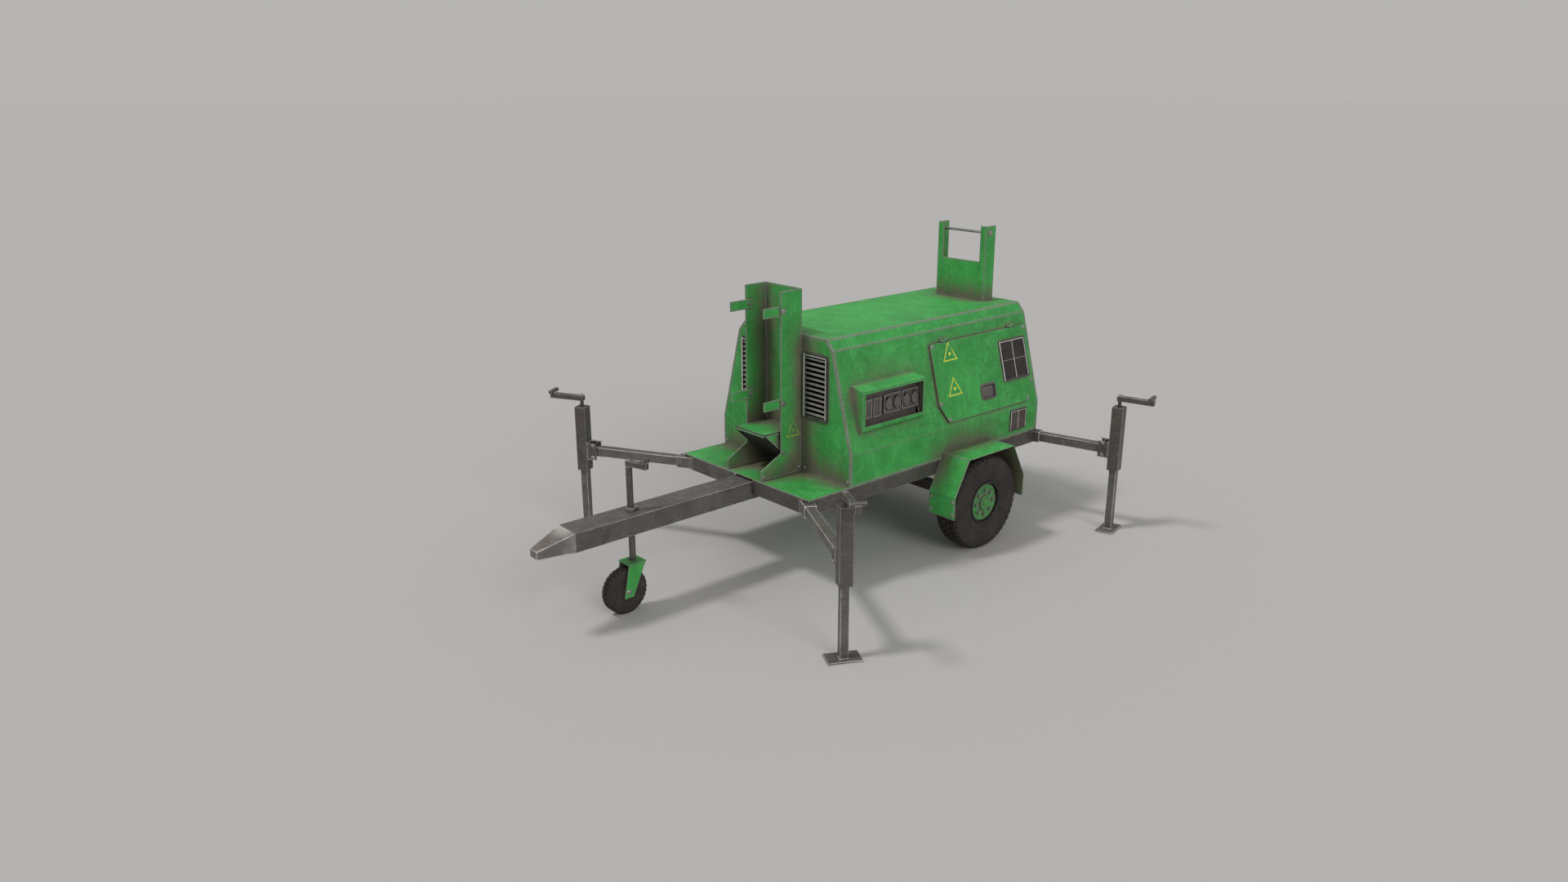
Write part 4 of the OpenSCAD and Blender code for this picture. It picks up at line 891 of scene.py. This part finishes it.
def mast_foot():
    """Wedge box: painted top and sides, and a near black sloping plate of painted shade for its hollow
    inside, sunk between light rims.
    """
    low, high = local_box("mast_foot_box")
    x0, x1, top, nose = low.x, high.x, high.z, high.z - 0.015
    slope = Vector((x1 - x0, 0, low.z - nose)).normalized()
    out = Vector((slope.z, 0, -slope.x))

    def on_slope(along, depth):
        p = Vector((x0, 0, nose)) + slope * along - out * depth
        return (p.x, p.z)

    run = (Vector((x1, 0, low.z)) - Vector((x0, 0, nose))).length
    s = Solid()
    side = [(x1, top), (x0, top), (x0, nose), (x1, low.z)]
    for y0, y1 in ((low.y, low.y + 0.004), (high.y - 0.004, high.y)):
        s.prism(side, y0, y1, "y", 0)
    s.box((x0, low.y, top - 0.005), (x1, high.y, top), 0)
    s.box((x0, low.y, nose), (x0 + 0.005, high.y, top), 0)

    def band(a, b, near, far):
        return [on_slope(a, near), on_slope(b, near), on_slope(b, far), on_slope(a, far)]

    rim, rim_depth = 0.012, 0.010
    # Near black sunk plate: painted shade inside the hollow wedge
    s.prism(band(0.002, run - 0.004, 0.009, 0.013), low.y + 0.003, high.y - 0.003, "y", 1)
    for y0, y1 in ((low.y, low.y + rim), (high.y - rim, high.y)):
        s.prism(band(0, run, 0, rim_depth), y0, y1, "y", 2)
    for a, b in ((0, rim), (run - 0.014, run)):
        s.prism(band(a, b, 0, rim_depth), low.y + rim, high.y - rim, "y", 2)
    stand_for(s.piece("mast_foot_box_piece", [PLATE_PAINT, STEEL_DARK, FRAME_STEEL], 0.0010), "mast_foot_box")


# ---------------------------------------------------------------- wheels

# Outer radius, width and bead radius of a road tyre, and how far its inner side is from the middle plane
TYRE_R, TYRE_W, BEAD_R, TYRE_INSIDE = 0.290, 0.175, 0.127, 0.560


def wheel_frame(node, side):
    """Frame of a road wheel: origin in the middle of its inner side, Z along the axle and outwards."""
    centre = sum(local_box(node), Vector()) / 2
    place = Matrix.Translation((centre.x, -TYRE_INSIDE, centre.z)) @ UPRIGHT
    return FLIP @ place if side > 0 else place


def tyre(node, side):
    s = Solid(wheel_frame(node, side))
    r, w = TYRE_R, TYRE_W
    half = [(BEAD_R, 0.020), (0.150, 0.008), (0.166, 0.004), (0.176, 0.0015), (0.180, 0.0045),
            (0.205, 0.0015), (0.235, 0.003), (r - 0.036, 0.006), (r - 0.018, 0.012), (r - 0.0085, 0.024),
            (r - 0.0075, 0.036)]
    profile = half + [(pr, w - ph) for pr, ph in reversed(half)]
    s.lathe(profile, steps=96)
    lug_rows(s, r, w)
    stand_for(s.piece(node + "_piece", [RUBBER], 0.0012, 2, 30), node)


def lug_rows(s, r, w):
    """Tread: staggered blocks across the width, with a shoulder block at each side."""
    count, rows = 44, 4
    first, last = 0.030, w - 0.030
    pitch = 2 * math.pi / count
    width = (last - first) / rows
    for row in range(rows):
        h0 = first + row * width + 0.0028
        h1 = first + (row + 1) * width - 0.0028
        for i in range(count):
            start = pitch * (i + (0.5 if row % 2 else 0.0)) + 0.018
            block(s, start, start + pitch - 0.030, r - 0.011, r, h0, h1)
    for h0, h1 in ((0.011, 0.029), (w - 0.011, w - 0.029)):
        for i in range(count):
            start = pitch * (i + 0.25) + 0.02
            shoulder(s, start, start + pitch - 0.036, r, h0, h1)


def block(s, a0, a1, r0, r1, h0, h1):
    points = [(r * math.cos(a), r * math.sin(a), h) for a in (a0, a1) for r in (r0, r1) for h in (h0, h1)]
    faces = [(0, 1, 3, 2), (4, 6, 7, 5), (0, 4, 5, 1), (2, 3, 7, 6), (0, 2, 6, 4), (1, 5, 7, 3)]
    s.add(points, faces)


def shoulder(s, a0, a1, r, h0, h1):
    outline = [(r - 0.022, h0), (r - 0.012, h0), (r - 0.0006, h1), (r - 0.016, h1)]
    points = [(q * math.cos(a), q * math.sin(a), h) for a in (a0, a1) for q, h in outline]
    faces = [(0, 1, 2, 3), (7, 6, 5, 4)] + [(i, (i + 1) % 4, 4 + (i + 1) % 4, 4 + i) for i in range(4)]
    s.add(points, faces)


def rim(node, side):
    s = Solid(wheel_frame(node, side))
    w, well_r, lip_r = TYRE_W, 0.1215, 0.1300
    barrel = [(0.120, 0.022), (BEAD_R, 0.022), (BEAD_R, w - 0.012), (well_r, w - 0.012)]
    s.lathe(barrel, steps=96, mat=1)
    lip = [(well_r, w - 0.018), (lip_r, w - 0.018), (lip_r, w - 0.0115), (0.1245, w - 0.0095),
           (well_r, w - 0.012)]
    s.lathe(lip, steps=96, mat=1)
    dish = [(0, w - 0.046), (well_r, w - 0.046), (well_r, w - 0.036), (0.112, w - 0.028), (0.098, w - 0.027),
            (0.094, w - 0.030), (0.058, w - 0.030), (0.054, w - 0.026), (0, w - 0.026)]
    s.lathe(dish, steps=96, mat=0)
    hub = [(0, w - 0.030), (0.046, w - 0.030), (0.046, w - 0.014), (0.041, w - 0.010), (0.034, w - 0.010),
           (0.032, w - 0.014), (0.024, w - 0.014), (0.022, w - 0.008), (0, w - 0.006)]
    s.lathe(hub, steps=64, mat=0)
    s.lathe([(0, 0.030), (0.042, 0.030), (0.042, w - 0.030), (0, w - 0.030)], steps=48, mat=1)
    nuts, nut_circle = 8, 0.077
    for i in range(nuts):
        a = 2 * math.pi * i / nuts
        x, y = nut_circle * math.cos(a), nut_circle * math.sin(a)
        bolt(s, x, y, w - 0.031, 0.0105, 0.015, 0)
        stud = [(0, w - 0.018), (0.0055, w - 0.018), (0.0055, w - 0.010), (0, w - 0.010)]
        s.lathe(stud, (x, y, 0), None, 12, 2)
    stem = (0.106 * math.cos(0.3), 0.106 * math.sin(0.3), 0)
    s.lathe([(0, w - 0.030), (0.004, w - 0.030), (0.004, w - 0.006), (0, w - 0.006)], stem, None, 12, 1)
    stand_for(s.piece(node + "_piece", [WHEEL_PAINT, BLACK, STEEL_BRIGHT], 0.0014, 2), node)


def jockey_wheel():
    low, high = local_box("jockey_wheel")
    s = Solid(Matrix.Translation((low + high) / 2) @ UPRIGHT)
    r = (high.z - low.z) / 2
    half = [(0.0062, -0.038), (0.022, -0.038), (0.030, -0.028), (0.066, -0.028), (0.074, -0.034),
            (r - 0.032, -0.035), (r - 0.028, -0.033), (r - 0.015, -0.034), (r - 0.0065, -0.028),
            (r - 0.0045, -0.021)]
    s.lathe(half + [(pr, -ph) for pr, ph in reversed(half)], steps=72)
    count = 30
    pitch = 2 * math.pi / count
    for i in range(count):
        for h0, h1, shift in ((-0.026, -0.003, 0.0), (0.003, 0.026, 0.5)):
            a = pitch * (i + shift)
            block(s, a, a + pitch - 0.05, r - 0.010, r, h0, h1)
    stand_for(s.piece("jockey_wheel_piece", [SOLID_RUBBER], 0.0012, 2), "jockey_wheel")


# ---------------------------------------------------------------- stage, lights, camera

def stage():
    mesh = bpy.data.meshes.new("floor")
    half = 150.0
    corners = [(-half, -half, 0), (half, -half, 0), (half, half, 0), (-half, half, 0)]
    mesh.from_pydata(corners, [], [(0, 1, 2, 3)])
    floor = bpy.data.objects.new("floor", mesh)
    SCENE.collection.objects.link(floor)
    mat = bpy.data.materials.new("pale_floor")
    mat.use_nodes = True
    b = mat.node_tree.nodes["Principled BSDF"]
    b.inputs["Base Color"].default_value = (0.47, 0.465, 0.46, 1)
    b.inputs["Roughness"].default_value = 0.9
    b.inputs["Specular IOR Level"].default_value = 0.1
    mesh.materials.append(mat)
    world = bpy.data.worlds.new("studio")
    world.use_nodes = True
    bg = world.node_tree.nodes["Background"]
    bg.inputs[0].default_value = (0.462, 0.458, 0.453, 1)
    bg.inputs[1].default_value = 1.0
    SCENE.world = world


def sun(name, towards, strength, softness, colour=(1, 1, 1)):
    """Distant soft light; towards points from the object to the light."""
    light = bpy.data.lights.new(name, "SUN")
    light.energy = strength
    light.angle = math.radians(softness)
    light.color = colour
    obj = bpy.data.objects.new(name, light)
    obj.rotation_euler = Vector(towards).to_track_quat("Z", "Y").to_euler()
    SCENE.collection.objects.link(obj)


def camera():
    cam = bpy.data.cameras.new("camera")
    cam.lens = 26.13
    cam.sensor_width = 36.0
    cam.clip_end = 500.0
    obj = bpy.data.objects.new("camera", cam)
    obj.location = (-4.3383, -4.7116, 2.7334)
    yaw, pitch = math.radians(48.191), math.radians(-17.67)
    look = Vector((math.cos(pitch) * math.cos(yaw), math.cos(pitch) * math.sin(yaw), math.sin(pitch)))
    obj.rotation_euler = look.to_track_quat("-Z", "Y").to_euler()
    SCENE.collection.objects.link(obj)
    SCENE.camera = obj


plates()
chassis()
outriggers()
engine_bay()
grilles()
door_vent()
service_panel()
door()
marks()
hood()
control_panel()
mast_foot()
for node_side in (-1, 1):
    suffix = "left" if node_side < 0 else "right"
    tyre("tyre_" + suffix, node_side)
    rim("rim_" + suffix, node_side)
jockey_wheel()

stage()
sun("key", (-0.46, 0.20, 0.86), 1.32, 9, (1.0, 0.985, 0.96))
sun("side", (-0.20, -1.0, 0.60), 0.94, 30, (0.97, 0.985, 1.0))
camera()
SCENE.view_settings.view_transform = "Standard"
